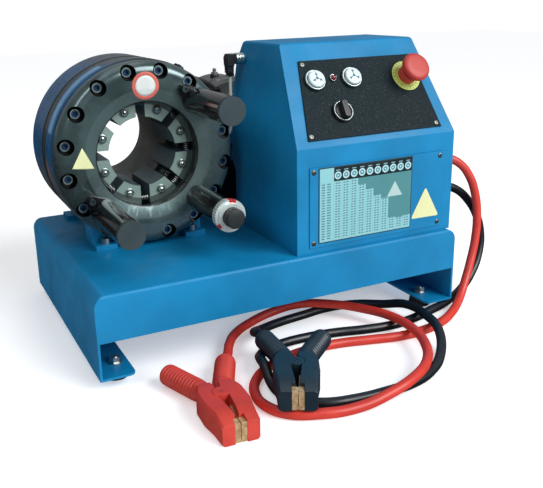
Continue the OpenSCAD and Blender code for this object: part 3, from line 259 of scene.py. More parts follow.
def pebbledLaminate():
    finish = Finish("pebbled laminate", gloss=0.12)
    grain = finish.noise(1.1, 2, 0.6)
    flecks = finish.span(finish.noise(1.5, 3, 0.7), 0.6, 0.72)
    colour = finish.mix(flecks * 0.5, tint(10, 27, 32), tint(116, 142, 150))
    return finish.done(colour, (grain, 0.3, 0.7, 0.5, 0.66), grain, 0.08)


# Finishes that change from place to place over a piece
head = {"screws": 16, "screwRing": 112, "pocket": 10.5, "throat": (60, 72.2), "mouth": 71, "funnel": 88,
        "funnelDepth": 5, "dies": 8, "dieFront": 30, "stroke": 28, "cone": 16, "gap": 13, "seat": 0.3,
        "springRing": 66, "springWidth": 9, "wire": 1.5, "springTurns": 4, "springDepths": (5.6, 42),
        "pinRing": 60, "rodRing": 96, "housing": 96.3, "scale": 14, "labelRing": 92, "labelLift": 0.25}


def polar(finish, centre=headAxis):  # distance in millimetres and angle, round an axis along y
    across, up = finish.along(0) - centre.x, finish.along(2) - centre.z
    return (across * across + up * up) ** 0.5 * toMm, finish.maths("ARCTAN2", up, across)


def behind(finish):  # millimetres behind the head's front face
    return (finish.along(1) - headAxis.y) * toMm


def screwReach(finish, radius, angle):  # millimetres from the nearest screw of the flange
    half = math.pi / head["screws"]
    off = (half - finish.maths("PINGPONG", angle, half)) * head["screwRing"]
    rise = radius - head["screwRing"]
    return (off * off + rise * rise) ** 0.5


def castFlange():
    finish = Finish("cast graphite flange", coat=0.55)
    radius, angle = polar(finish)
    cloud = finish.span(finish.noise(40, 5), 0.3, 0.7)
    colour = finish.layered(
        finish.mix(cloud, tint(60, 78, 80), tint(80, 101, 102)),
        # painted light: the face lighter over its right and lower right
        (finish.span(angle, -2.6, 0.2, 0, 0.5) * (1 - finish.span(angle, 0.2, 1.4)), (112, 132, 130)),
        # painted shade: the face darker towards the lower left
        (finish.within(angle, -3.1, -2.3) * 0.5, (22, 30, 34)),
        # painted highlight: a lighter ring on the funnel slope
        (finish.within(radius, head["mouth"], head["funnel"], 1.2) * 0.4, (112, 136, 136)),
        # painted shade: the throat's bore wall darkened
        (finish.within(radius, *head["throat"], 0.4), (28, 33, 36)),
        # painted shade: the screw pockets near black
        (screwReach(finish, radius, angle) < head["pocket"], (10, 11, 12)))
    return finish.done(colour, (cloud, 0, 1, 0.22, 0.34), finish.noise(0.9, 3), 0.035, Metallic=0.55)


def bandedBarrel():
    finish = Finish("banded barrel paint", coat=0.12, gloss=0.35)
    angle, depth = polar(finish)[1], behind(finish)
    scuff = finish.span(finish.noise(9, 6, 0.7), 0.45, 0.7)
    body = finish.layered(
        finish.mix(finish.noise(60, 4), tint(0, 62, 104), tint(4, 86, 132)),
        (scuff * 0.25, (24, 44, 58)),
        # painted reflection: the top darkened, as dark surroundings mirrored in the gloss
        (finish.within(angle, 0.9, 1.95, 0.22) * 0.85, (42, 50, 50)),
        # painted reflection: a brownish sheen over the lower left
        (finish.within(angle, -2.95, -2.0) * 0.75, (88, 84, 66)),
        # painted glint: an orange-brown highlight low on the left
        (finish.within(angle, -3.1, -2.85, 0.1) * finish.within(depth, 55, 66, 4) * 0.8, (176, 100, 52)))
    dark = finish.mix(scuff, tint(34, 44, 48), tint(70, 66, 58))
    body = finish.mix(finish.within(depth, 62, 86, 1.0), body, dark)
    label = finish.within(angle, 1.95, 2.86, 0.01) * finish.within(depth, 37, 55) * 0.8
    printed = finish.mix(finish.span(finish.noise(2.2, 3), 0.5, 0.6), tint(96, 152, 196), tint(132, 178, 214))
    return finish.done(finish.mix(label, body, printed), (scuff, 0, 1, 0.28, 0.46), finish.noise(5, 3), 0.03)


def dieSteel():
    finish = Finish("die steel", metallic=0.35)
    (radius, angle), depth = polar(finish), behind(finish)
    grain = finish.noise(0.8, 4, 0.6, finish.stretch(1, 0.15, 1))
    front = finish.mix(finish.span(radius, 64.5, 65.5), tint(146, 172, 164), tint(66, 82, 80))
    half = math.pi / head["dies"]
    line = (half - finish.maths("PINGPONG", angle, half)) * 48 < 1.1  # a dark line down each die's bore
    line = line * finish.within(depth, 58, 66, 0.4) * (radius < 50)
    inner = finish.mix(finish.noise(12, 4), tint(52, 78, 92), tint(78, 104, 114))
    inner = finish.layered(inner, (line, (12, 14, 16)))
    colour = finish.mix(depth < head["dieFront"] + 0.3, inner, front)
    colour = finish.layered(colour, (grain * 0.15, (170, 184, 180)))
    return finish.done(colour, (grain, 0.2, 0.8, 0.28, 0.48), grain, 0.01)


def socketScrew():
    finish = Finish("oiled socket screw", metallic=0.8)
    reach = screwReach(finish, *polar(finish))
    grain = finish.noise(0.8, 3)
    # painted highlight: a light ring round the edge of each screw head
    rimHighlight = finish.mix(finish.within(reach, 4.9, 6.2, 0.25), tint(66, 82, 88), tint(150, 172, 176))
    # painted reflection: the hex socket bluish
    return finish.done(finish.layered(rimHighlight, (reach < 3.7, (52, 84, 122))), (grain, 0.3, 0.7, 0.3, 0.45), grain, 0.01)


chart = {"left": 31, "low": 13, "width": 148, "height": 101, "border": 1.2, "firstColumn": 22.5, "columns": 10,
         "head": 19.5, "row": 3.5, "foot": 7, "falls": (0, 0, 0, 9, 17, 27, 33, 62, 64, 62), "discs": 7.5,
         "triangle": (119.7, 49.3, 20.7, 1.66)}  # middle, foot, height and steepness


def chartPrint():
    finish = Finish("chart print", gloss=0.4)
    within, width, height, start = finish.within, chart["width"], chart["height"], chart["firstColumn"]
    across = (finish.along(0) - (boxCorner.x + chart["left"] * mm)) * toMm
    up = (finish.along(2) - (boxCorner.z + chart["low"] * mm)) * toMm
    pitch = (width - start - chart["border"]) / chart["columns"]
    top = height - chart["head"]
    column = (across - start) / pitch
    number = finish.maths("FLOOR", column)
    inColumn, inRow = (column % 1) * pitch, up % chart["row"]
    fall = 0
    for k in range(1, chart["columns"]):  # the pale columns step down to the right
        fall = (number > k - 0.5) * (chart["falls"][k] - chart["falls"][k - 1]) + fall
    first = across < start
    pale = (up < top - fall) | (up < chart["foot"]) | first
    ink = finish.noise(0.8, 2, 0.6) > 0.42
    inLine = within(inRow, 0.9, 2.5, 0.1)
    dash = within(inColumn, 2.4, 5.2, 0.1) | within(inColumn, 6.6, pitch - 2.6, 0.1)
    dash = dash * inLine * (across > start)
    wide = (within(across, 4, 9, 0.1) | within(across, 12, 18, 0.1)) * inLine
    line = (inColumn < 0.45) * (across > start - 0.5)
    headRow = (up > top) * (1 - first)
    side, rise = inColumn - pitch / 2, up - (top + chart["discs"])
    reach = (side * side + rise * rise) ** 0.5
    cap = within(up, top + 14, top + 15.2, 0.1) * within(inColumn, 3, pitch - 3, 0.2)
    middle, foot, tall, steep = chart["triangle"]
    slope = abs(across - middle) * steep + (up - foot)
    inset = (across & (width - across)) & (up & (height - up))
    colour = finish.layered(
        finish.mix(pale, tint(70, 128, 132), tint(128, 184, 190)),
        ((dash | wide * first) * ink * pale * (up < top) * (up > 3) * 0.85, (34, 66, 80)),
        ((line | (inRow < 0.25) * 0.4) * 0.5 * pale, (62, 116, 128)),
        (headRow, (22, 36, 42)), (headRow * (reach < 5.2), (160, 200, 206)),
        (headRow * (reach < 3.2), (66, 122, 134)), (headRow * (reach < 1.3), (168, 204, 208)),
        (headRow * cap, (124, 164, 172)), ((slope < tall) * (up > foot), (160, 188, 186)),
        (inset < chart["border"], (46, 60, 66)))
    return finish.done(colour, (finish.noise(20, 3), 0.3, 0.7, 0.3, 0.45), finish.noise(1.5, 2), 0.01)


def scaleRing():
    finish = Finish("scale ring aluminium", metallic=0.45)
    radius, angle = polar(finish, sum(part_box("scale_ring"), Vector((0, 0, 0))) / 2)
    grain = finish.noise(0.5, 3, 0.6, finish.stretch(1, 6, 1))
    tick = (finish.maths("PINGPONG", angle, math.pi / 36) < 0.012) * (radius > 21)
    turn = 2 * math.pi
    mark = finish.within(angle, 1.15, 1.65, 0.02) | finish.within(angle, 3.6 - turn, 3.95 - turn, 0.02)
    colour = finish.mix(grain * 0.4, tint(206, 220, 218), tint(228, 236, 234))
    colour = finish.layered(colour, (tick, (60, 64, 66)), (mark * (radius > 17.8), (196, 50, 46)))
    return finish.done(colour, (grain, 0.2, 0.8, 0.2, 0.38), grain, 0.008)


def toothedCopper():
    finish = Finish("toothed copper", metallic=0.45)
    ridge = finish.node("ShaderNodeTexWave", {"bands_direction": "Z"}, {
        "Vector": finish.place, "Scale": 160.0, "Distortion": 1.2, "Detail": 2.0}, out=1)
    cloud = finish.noise(5, 4)
    base = finish.mix(finish.span(cloud, 0.3, 0.7), tint(184, 148, 104), tint(222, 190, 146))
    return finish.done(finish.layered(base, (ridge * 0.3, (120, 90, 62))), (cloud, 0.3, 0.7, 0.35, 0.5), ridge, 0.25)


def clampPin(between=157):  # red to the left of between and dark to its right, as the clamps lie
    finish = Finish("clamp pin lacquer")
    wear = finish.noise(3, 3)
    colour = finish.mix(finish.along(0) > corner.x + between * mm, tint(170, 48, 38), tint(20, 36, 46))
    colour = finish.layered(colour, (finish.span(wear, 0.6, 0.75) * 0.4, (150, 140, 136)))
    return finish.done(colour, (wear, 0.3, 0.7, 0.35, 0.5), wear, 0.02)


finishes = {  # by the CAD's material slots, and then by the pieces that have their own
    "blue_paint": paint("blue powder coat", (8, 117, 166), rough=0.48, coat=0.03, gloss=0.22),
    "black_paint": paint("black satin paint", (30, 33, 36), rough=0.4),
    "cylinder_paint": paint("gloss black paint", (11, 13, 17), 0.16, 0.45, peel=6, depth=0.02, dirt=0.05),
    "barrel_paint": bandedBarrel(),
    "graphite_paint": castFlange(),
    "chart_print": chartPrint(),
    "panel_laminate": pebbledLaminate(),
    "black_oxide": socketScrew(),
    "zinc_steel": bareMetal("zinc plate", (196, 198, 196)),
    "ground_steel": bareMetal("ground steel", (150, 160, 160), grain=(1, 0.08, 1)),
    "spring_steel": bareMetal("drawn wire", (205, 208, 208), rough=0.22),
    "ring_aluminium": bareMetal("satin aluminium", (214, 228, 226), rough=0.28, stain=0.12),
    "chrome_ring": bareMetal("satin bezel", (176, 190, 192), rough=0.34, stain=0.08, depth=0.004),
    "cap_plastic": moulded("matt cap plastic", (46, 60, 64), rough=0.65, grain=1.1, depth=0.06, gloss=0.25),
    "white_lens": moulded("frosted white lens", (190, 208, 210), rough=0.4, coat=0.1, vary=0.03),
    "red_lens": moulded("deep red lens", (104, 28, 34), rough=0.12, coat=0.8, vary=0.05),
    "black_plastic": moulded("black moulded plastic", (19, 22, 26)),
    "yellow_plastic": moulded("yellow green disc", (184, 198, 100), rough=0.45, vary=0.04),
    "red_button": moulded("red button plastic", (168, 50, 42), rough=0.44, coat=0.03),
    "foot_rubber": moulded("black rubber", (32, 32, 33), rough=0.75, grain=0.9, depth=0.05),
    "pipe_black": moulded("black hose cover", (36, 37, 39), rough=0.4),
    "white_cable": moulded("white cable jacket", (206, 210, 204), rough=0.4),
    "red_jacket": moulded("red cable jacket", (196, 50, 36), coat=0.05, grain=0.7),
    "black_jacket": moulded("black cable jacket", (13, 20, 26), rough=0.36, coat=0.1, grain=0.7),
    "red_clamp_plastic": moulded("red clamp plastic", (188, 54, 42), coat=0.05),
    "black_clamp_plastic": moulded("navy black clamp plastic", (16, 38, 50), rough=0.4, coat=0.05),
    "die": dieSteel(), "scale": scaleRing(), "copper": toothedCopper(), "pin": clampPin(),
    "housing": paint("brown grey paint", (92, 93, 84), rough=0.4, coat=0.05, gloss=0.4),
    "motor": paint("motor enamel", (64, 68, 64), coat=0.3),
    "oxide": bareMetal("oiled black steel", (52, 56, 60), rough=0.35, stain=0.4),
    "chrome": bareMetal("bright chrome", (214, 220, 222), rough=0.14, stain=0.08, depth=0.002),
    "brightSteel": bareMetal("polished steel", (226, 232, 230), rough=0.12, stain=0.08, depth=0.003),
    "dullZinc": bareMetal("dull zinc plate", (140, 148, 142), rough=0.42),
    "symbol": moulded("grey blue ink", (58, 84, 100), rough=0.5),
    # dark print on the stop's disc, and painted shade in the screws' cross recesses and under the louvres
    "darkInkAndShade": moulded("dark ink and painted shade", (38, 42, 40), rough=0.5),
    "paleYellow": moulded("pale yellow label", (208, 212, 160), vary=0.04),
    "labelWhite": moulded("white label", (204, 210, 208), vary=0.05),
    "labelRed": moulded("faded red ink", (196, 96, 84)),
    "knobFace": moulded("worn knob face", (32, 40, 44)),
}
print("finishes mixed:", len(finishes))


def edgeShader():  # a node group that shades faces smooth and keeps edges sharper than a set angle
    group = bpy.data.node_groups.new("smooth faces", "GeometryNodeTree")
    for way in ("INPUT", "OUTPUT"):
        group.interface.new_socket("Mesh", in_out=way, socket_type="NodeSocketGeometry")
    board = Board(group)
    mesh = board.node("GeometryNodeRemoveAttribute", None, {0: board.node("NodeGroupInput"), "Name": "custom_normal"})
    mesh = board.node("GeometryNodeSetShadeSmooth", {"domain": "FACE"}, {0: mesh})
    angle = board.node("GeometryNodeInputMeshEdgeAngle")
    sharp = board.node("FunctionNodeCompare", {"operation": "GREATER_THAN"}, {0: angle, 1: math.radians(30)})
    mesh = board.node("GeometryNodeSetShadeSmooth", {"domain": "EDGE"}, {
        0: mesh, "Selection": sharp, "Shade Smooth": False})
    group.links.new(mesh.socket, group.nodes.new("NodeGroupOutput").inputs[0])
    return group


smoothFaces = edgeShader()


def roundEdges(piece, width, angle):  # small rounded edges, in millimetres
    fit(piece.modifiers.new("edges", "BEVEL"), width=width * mm, segments=2, limit_method="ANGLE",
        angle_limit=math.radians(angle), harden_normals=True)


def dress(piece, finish, edge):  # a CAD node gets its finish and small rounded edges
    piece.data.materials.clear()
    piece.data.materials.append(finish.material)
    add = piece.modifiers.new
    add("weld", "WELD").merge_threshold = 2e-6
    fit(add("flat faces", "DECIMATE"), decimate_type="DISSOLVE", angle_limit=math.radians(0.5))
    add("smooth", "NODES").node_group = smoothFaces
    if edge:
        roundEdges(piece, edge, 35)


edges = {"usual": 0.4, "base_tray": 0.8, "box_hood": 0.5, "front_flange": 1.2, "barrel": 1.0, "chart_plate": 0,
         "sensor_cable": 0, "red_cable": 0, "black_cable": 0, "return_springs": 0}
slots = {row["node"]: row["material_slot"] for row in frame["record"]["subparts"]}
ownFinish = {"clamp_pins": "pin", "scale_ring": "scale", "rear_housing": "housing", "motor": "motor",
    "head_feet": "blue_paint", **{"die_%d" % (k + 1): "die" for k in range(head["dies"])}}
for name in nodes:
    dress(nodes[name], finishes[ownFinish.get(name, slots[name])], edges.get(name, edges["usual"]))
print("nodes dressed:", len(nodes))

# Cables, in millimetres from the base's front left corner
cables = {"diameter": 12.5, "length": {"red": 1.4736, "black": 1.4516}, "route": {
    "red": [
        (532, 55, 216), (556, 55, 214), (576, 50, 204), (590, 44, 185), (598, 38, 158), (600, 33, 125),
        (594, 27, 92), (580, 19, 60), (561, 8, 33), (538, -7, 14), (508, -26, 7), (475, -43, 6.5), (438, -52, 6.5),
        (400, -52, 6.5), (358, -42, 6.5), (314, -31, 6.5), (270, -28, 6.5), (232, -34, 6.5), (200, -46, 6.5),
        (174, -66, 6.5), (158, -94, 6.5), (156, -124, 6.5), (170, -150, 6.5), (200, -167, 6.5), (245, -177, 7),
        (290, -178, 14), (332, -168, 19.5), (368, -144, 19.5), (395, -108, 19.5), (410, -64, 19.5),
        (409, -18, 19.5), (390, 28, 18), (357, 61, 19.5), (316, 82, 19.5), (276, 89, 13), (237, 81, 8),
        (205, 60, 8), (180, 26, 12), (165, -2, 14), (154, -20, 15), (147, -33, 15)],
    "black": [
        (532, 55, 172), (556, 55, 171), (577, 54, 163), (597, 53, 146), (613, 50, 122), (621, 46, 92),
        (614, 39, 61), (593, 29, 35), (563, 19, 16), (528, 9, 7), (490, -3, 6.5), (450, -14, 6.5), (410, -18, 6.5),
        (370, -12, 6.5), (328, -1, 6.5), (286, 5, 6.5), (246, 4, 6.5), (216, -6, 7.5), (203, -18, 9),
        (196, -32, 15.5), (190.5, -46, 20), (188, -60, 19.5), (186, -72, 14), (185, -84, 8), (184, -106, 6.5),
        (191, -130, 6.5), (216, -150, 6.5), (252, -160, 6.5), (292, -163, 6.5), (334, -161, 6.5), (374, -147, 6.5),
        (410, -120, 9), (438, -82, 19), (453, -38, 19.5), (453, 6, 19.5), (438, 44, 9), (405, 69, 6.5),
        (362, 76, 6.5), (318, 71, 6.5), (274, 65, 6.5), (240, 52, 9), (219, 30, 19), (213.5, 10, 27.5),
        (212, -8, 29), (211, -24, 29)]}}


def curveThrough(name, route, diameter, slot, node, sides=6):  # a round cord or hose in place of a node
    data = fit(bpy.data.curves.new(name, "CURVE"), dimensions="3D", resolution_u=8, bevel_depth=diameter / 2 * mm,
        bevel_resolution=sides, use_fill_caps=True)
    line = data.splines.new("BEZIER")
    line.bezier_points.add(len(route) - 1)
    for knot, at in zip(line.bezier_points, route):
        fit(knot, co=spot(*at), handle_left_type="AUTO", handle_right_type="AUTO")
    data.materials.append(finishes[slot].material)
    piece = addObject(name, data)
    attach(piece, "root")
    if node:
        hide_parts(node)
    return piece


# Shapes of the pieces made here
def circleOf(radius, count):
    turns = [2 * math.pi * k / count for k in range(count)]
    return [(radius * math.cos(turn), radius * math.sin(turn)) for turn in turns]


class Shape:  # one piece's mesh, drawn part by part in millimetres, each part in a frame
    def __init__(self):
        self.mesh = bmesh.new()

    def add(self, points, faces, place, finish=0):
        made = [self.mesh.verts.new(place @ (Vector(p) * mm)) for p in points]
        for face in faces:
            new = self.mesh.faces.new([made[i] for i in face])
            new.material_index = finish
            new.smooth = True

    def loft(self, rings, place, finish=0, caps=(True, True), loop=False):  # rings of points, joined in a row
        points, numbers, faces = [], [], []
        for ring in rings:
            numbers.append(range(len(points), len(points) + len(ring)))
            points += ring
        if loop:
            numbers.append(numbers[0])
        for low, high in zip(numbers, numbers[1:]):
            count = max(len(low), len(high))
            for k in range(count):
                n = (k + 1) % count
                face = low[k % len(low)], low[n % len(low)], high[n % len(high)], high[k % len(high)]
                face = list(dict.fromkeys(face))  # three corners where a ring is a point
                if len(face) > 2:
                    faces.append(face)
        if caps[0]:
            faces.append(numbers[0][::-1])
        if caps[1]:
            faces.append(numbers[-1])
        self.add(points, faces, place, finish)

    def lathe(self, profile, place, sides=48, finish=0, ripple=0, loop=False):  # profile of radius and height
        rings = []
        for r, z in profile:
            reach = r, r - ripple  # in turn round a knurled edge
            circle = enumerate(circleOf(1, sides if r else 1))
            rings.append([(reach[k % 2] * x, reach[k % 2] * y, z) for k, (x, y) in circle])
        self.loft(rings, place, finish, (False, False), loop)

    def prism(self, outline, low, high, place, finish=0):
        self.loft([[(x, y, low) for x, y in outline], [(x, y, high) for x, y in outline]], place, finish)

    def tube(self, path, radius, place, sides=10, finish=0):
        path, rings, side = [Vector(p) for p in path], [], None
        for i, p in enumerate(path):
            ahead = (path[min(i + 1, len(path) - 1)] - path[max(i - 1, 0)]).normalized()
            side = side or ahead.orthogonal()
            side = (side - ahead * side.dot(ahead)).normalized()
            other = ahead.cross(side)
            rings.append([p + radius * (x * side + y * other) for x, y in circleOf(1, sides)])
        self.loft(rings, place, finish)

    def piece(self, name, node, *finishNames, body="root", slot=None, edge=0, crease=35, thick=0):
        bmesh.ops.recalc_face_normals(self.mesh, faces=self.mesh.faces)
        data = bpy.data.meshes.new(name)
        self.mesh.to_mesh(data)
        self.mesh.free()
        for finishName in finishNames:
            data.materials.append(finishes[finishName].material)
        data.set_sharp_from_angle(angle=math.radians(crease))
        made = addObject(name, data)
        if thick:
            made.modifiers.new("thickness", "SOLIDIFY").thickness = thick * mm
        if edge:
            roundEdges(made, edge, crease)
        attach(made, body)
        if node:
            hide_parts(node)
        return made


def softened(profile, radius=1.0, steps=3):  # rounds the corners of an open outline
    points = [Vector(p) for p in profile]
    made = [tuple(points[0])]
    for before, at, after in zip(points, points[1:], points[2:]):
        cut = [(before - at), (after - at)]
        reach = [min(radius, c.length * 0.45) for c in cut]
        first, last = (at + c.normalized() * r for c, r in zip(cut, reach))
        for k in range(steps + 1):
            t = k / steps
            made.append(tuple(first * (1 - t) ** 2 + at * 2 * t * (1 - t) + last * t ** 2))
    made.append(tuple(points[-1]))
    return made


# Control panel
controls = {"open": (53, 91), "close": (109.5, 91), "pilot": (81.5, 93), "selector": (80, 44), "stop": (199, 88),
    "plate": 2, "cover": 1.5, "plateScrews": ((24.5, 14.5), (223, 14.5), (42.5, 115.5), (212, 115.5)),
    "coverScrews": ((24, 14), (24, 109.5), (226.5, 14), (226.5, 109.5)),
    "triangle": ((203.9, 67.1), (180.3, 24.2), (228.3, 23.3))}


def makeButtons():
    bezels = Shape()
    ring = [(12.05, 3.2), (12.05, 6.3), (12.7, 7.0), (13.8, 7.0), (14.75, 6.1), (14.75, 2.0), (11, 2.0),
            (11, -30), (6.1, -30), (6.1, 0.8), (10.3, 0.8), (10.3, 3.2)]
    profile = [(0, 11.2), (9.5, 11.2), (11.4, 10.6), (11.75, 9.6), (11.75, 7.8), (11.55, 7.6), (11.75, 7.4),
        (11.75, 7.28), (10.1, 7.28), (10.1, 5.6), (6, 5.6), (6, -20), (0, -20)]
    for name, tip, root in (("open", 8.2, 4.4), ("close", 3.4, 7.8)):
        place = slantFrame(*controls[name])
        bezels.lathe(softened(ring + [ring[0]], 0.4), place, 64)
        cap = Shape()
        cap.lathe(softened(profile, 0.05), place, 64)
        for turn in (90, 210, 330):  # three wedges round a hub, pointing out to open and in to close
            arm = place @ turned(turn)
            cap.prism([(tip, 0), (root, 2.1), (root, -2.1)], 11.1, 11.34, arm, 1)
            cap.prism([(1.0, 0.5), (8.0, 0.5), (8.0, -0.5), (1.0, -0.5)], 11.1, 11.3, arm, 1)
        cap.lathe([(0, 11.34), (1.9, 11.34), (1.9, 11.1)], place, 24, 1)
        cap.piece(name + "_button_cap", name + "_button", "white_lens", "symbol", body=name + "_button")
    bezels.piece("bezel_rings", "button_bezels", "chrome_ring")


def makePilot():
    lamp, place = Shape(), slantFrame(*controls["pilot"])
    lamp.lathe(softened([(3.9, 2), (3.9, 4.6), (4.4, 5), (5, 4.3), (5, 2), (3.9, 2)], 0.3), place, 40)
    lamp.lathe([(3.8, -13), (3.8, 4.2), (3.5, 5.6), (2.6, 7), (1.4, 7.8), (0, 8)], place, 40, 1)
    lamp.piece("pilot_lamp", "pilot_light", "chrome", "red_lens")


def makeSelector():
    ring, place = Shape(), slantFrame(*controls["selector"])
    ring.lathe(softened([(11.9, 3.2), (11.9, 6.4), (14.5, 6.4), (14.5, 2), (11, 2), (11, -30), (6.1, -30), (6.1, 3.2),
        (11.9, 3.2)], 0.3), place, 64, 1)
    ring.lathe(softened([(12.6, 6.3), (12.6, 7.0), (13.0, 7.4), (13.6, 7.4), (13.9, 7.0), (13.9, 6.3), (12.6, 6.3)],
        0.2), place, 64)
    ring.piece("selector_ring", "selector_body", "chrome_ring", "black_plastic")
    knob = Shape()
    knob.lathe(softened([(0, 6.9), (10.6, 6.9), (11.5, 6.2), (11.5, 3.5), (6, 3.5), (6, -20), (0, -20)], 0.4), place,
        56)
    rings = []
    for z, wide, reach in ((6.5, 5.2, 11.0), (8.2, 5.2, 12.6), (13.5, 4.8, 12.2), (15.3, 4.0, 11.2)):
        bow = [(wide, -reach * 0.86), (wide, reach * 0.86), (wide * 0.5, reach), (-wide * 0.5, reach)]
        rings.append([(x, y, z) for x, y in bow + [(-x, -y) for x, y in bow]])
    knob.loft(rings, place)
    knob.prism([(-0.45, 4), (0.45, 4), (0.45, 10.4), (-0.45, 10.4)], 15.2, 15.4, place, 1)
    knob.piece("selector_grip", "selector_knob", "black_plastic", "cap_plastic", body="selector_knob", edge=0.5)


def makeStop():
    base, place = Shape(), slantFrame(*controls["stop"])
    base.lathe(softened([(11.1, 2), (11.1, 3.2), (21.6, 3.2), (22, 2.8), (22, 2), (11.1, 2)], 0.2), place, 72)
    for k in range(24):  # plain ticks round the disc
        inner = 20.6 - (3.4 if k % 3 == 0 else 1.8)
        base.prism([(20.6, -0.3), (20.6, 0.3), (inner, 0.3), (inner, -0.3)], 3.15, 3.28, place @ turned(k * 15), 2)
    base.lathe([(16.2, 3.15), (16.2, 3.27), (16.6, 3.27), (16.6, 3.15)], place, 72, 2, loop=True)
    base.lathe(softened([(10.2, 3.2), (10.2, 13.6), (12.6, 14.2), (13.5, 12.6), (13.5, 3.2), (11, 3.2), (11, -30),
        (10.2, -30), (10.2, 3.2)], 0.5), place, 56, 1)
    base.piece("stop_base", "stop_body", "yellow_plastic", "red_button", "darkInkAndShade")
    top = Shape()
    top.lathe(softened([(0, 32.9), (9, 32.8), (15.4, 32.4), (18.6, 31.2), (20, 28.6), (20, 25.2), (19.2, 23.2),
        (17, 22.2), (10, 22), (10, -12), (0, -12)], 1.2), place, 72)
    top.piece("stop_head", "stop_mushroom", "red_button", body="stop_mushroom")


def makeScrews():
    screws = Shape()
    places = [slantFrame(*at) @ moved(0, 0, controls["plate"]) for at in controls["plateScrews"]]
    places += [frontFrame(*at) @ moved(0, 0, controls["cover"]) for at in controls["coverScrews"]]
    for k, place in enumerate(places):
        screws.lathe(softened([(0, 1.2), (2.6, 1.1), (3.4, 0.5), (3.5, 0), (2, 0), (2, -7), (0, -7)], 0.4), place, 32)
        for turn in (20 + 37 * k, 110 + 37 * k):  # the cross recess, as a raised bar of painted shade
            screws.prism([(-2.1, -0.35), (2.1, -0.35), (2.1, 0.35), (-2.1, 0.35)], 1.05, 1.24, place @ turned(turn),
                1)
    screws.piece("panel_screw_heads", "panel_screws", "dullZinc", "darkInkAndShade")


def makeTriangle():  # a plain triangular sticker beside the chart
    corners = [Vector(at) for at in controls["triangle"]]
    centre = sum(corners, Vector((0, 0))) / 3
    corners = [at - centre for at in corners]
    middle = corners[-1].lerp(corners[0], 0.5)
    label = Shape()
    label.prism(softened([middle] + corners + [middle], 4, 4)[:-1], controls["cover"], 1.8, frontFrame(*centre))
    label.piece("plain_triangle", None, "paleYellow")


for make in (makeButtons, makePilot, makeSelector, makeStop, makeScrews, makeTriangle):
    make()
print("control panel made")


# Crimping head
def makeDieSprings():
    sector, perTurn = 360 / head["dies"], 18
    ring, wire, front = head["springRing"], head["wire"], head["dieFront"]
    radius, steps = (head["springWidth"] - wire) / 2, head["springTurns"] * perTurn
    length = head["gap"] - 2 * head["seat"]
    for die in range(1, head["dies"], 2):
        for side in (-1, 1):
            place = headFrame @ turned(sector * (die - 0.5 + side / 2))
            for number, depth in enumerate(head["springDepths"]):
                path = []
                for k in range(steps + 1):
                    turn = 2 * math.pi * k / perTurn
                    path.append((ring + radius * math.cos(turn), (k / steps - 0.5) * (length - wire),
                        radius * math.sin(turn) - front - depth))
                spring = Shape()
                spring.tube(path, wire / 2, place, 8)
                made = spring.piece("die_spring_%d_%s_%d" % (die, "a" if side < 0 else "b", number + 1),
                    "die_springs_%d" % die, "spring_steel", body="die_%d" % die, crease=60)
                tangent = place.to_3x3() @ Vector((0, 1, 0))
                anchor = place @ (Vector((ring, -side * length / 2, -front - depth)) * mm)
                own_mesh(made)


def makeDiePins():
    for die in range(1, head["dies"] + 1):
        turn = turned(360 / head["dies"] * (die - 0.5))
        place = headFrame @ turn @ moved(head["pinRing"], 0, -head["dieFront"])
        pin = Shape()
        pin.lathe(softened([(3.6, 0.05), (6.5, 0.05), (6.5, 1.5), (5.2, 2.0), (3.6, 1.9)], 0.3), place, 32, 1)
        pin.lathe([(3.5, 1.0), (3.5, 2.9), (3.1, 3.9), (2.2, 4.6), (1.1, 4.95), (0, 5.05)], place, 32)
        pin.piece("die_pin_%d" % die, None, "brightSteel", "ground_steel", body="die_%d" % die, slot="ground_steel")


def draped(x, y):  # a point on the flange's front, followed down into the funnel
    funnel, mouth = head["funnel"], head["mouth"]
    share = max(0, (funnel - math.hypot(x, y)) / (funnel - mouth))
    return (x, y, head["labelLift"] - share * head["funnelDepth"])


def makeLabels():
    disc = Shape()
    for low, high, finish in ((1.5, 13.6, 0), (13.6, 18.4, 1)):
        radii = [low + (high - low) * k / 4 for k in range(5)]
        rings = [[draped(x, head["labelRing"] + y) for x, y in circleOf(r, 64)] for r in radii]
        disc.loft(rings, headFrame, finish, caps=(finish == 0, False))
    disc.piece("round_label", None, "labelWhite", "labelRed", thick=0.2, crease=60)
    field = Shape()
    corners = [Vector((-90, 19.4)), Vector((-105, -6.5)), Vector((-75, -10))]
    middle = sum(corners, Vector((0, 0))) / 3
    rings = []
    for k in range(7):
        share = 1 - 0.92 * k / 6
        ring = []
        for a, b in zip(corners, corners[1:] + corners[:1]):
            ring += [middle + (a.lerp(b, t / 8) - middle) * share for t in range(8)]
        rings.append([draped(p.x, p.y) for p in ring])
    field.loft(rings, headFrame, caps=(False, True))
    field.piece("flange_triangle", None, "paleYellow", thick=0.2, crease=60)


def makeMicrometerKnob():
    knob = Shape()
    place = headFrame @ turned(315) @ moved(head["rodRing"], 0, head["housing"] + head["scale"])
    knob.lathe([(5, -58), (5, 0), (12.4, 0), (13, 0.6)], place, 72)
    knob.lathe([(13, 0.6), (13, 11.8)], place, 72, ripple=0.45)
    knob.lathe([(13, 11.8), (12.4, 12.6), (11.4, 12.9)], place, 72)
    knob.lathe([(11.4, 12.9), (10.9, 13.0), (8, 13.7), (4, 13.95), (0, 14)], place, 72, 1)
    knob.piece("knurled_knob", "micrometer_knob", "black_plastic", "knobFace", body="micrometer_knob")


for make in (makeDieSprings, makeDiePins, makeLabels, makeMicrometerKnob):
    make()
print("head pieces made")

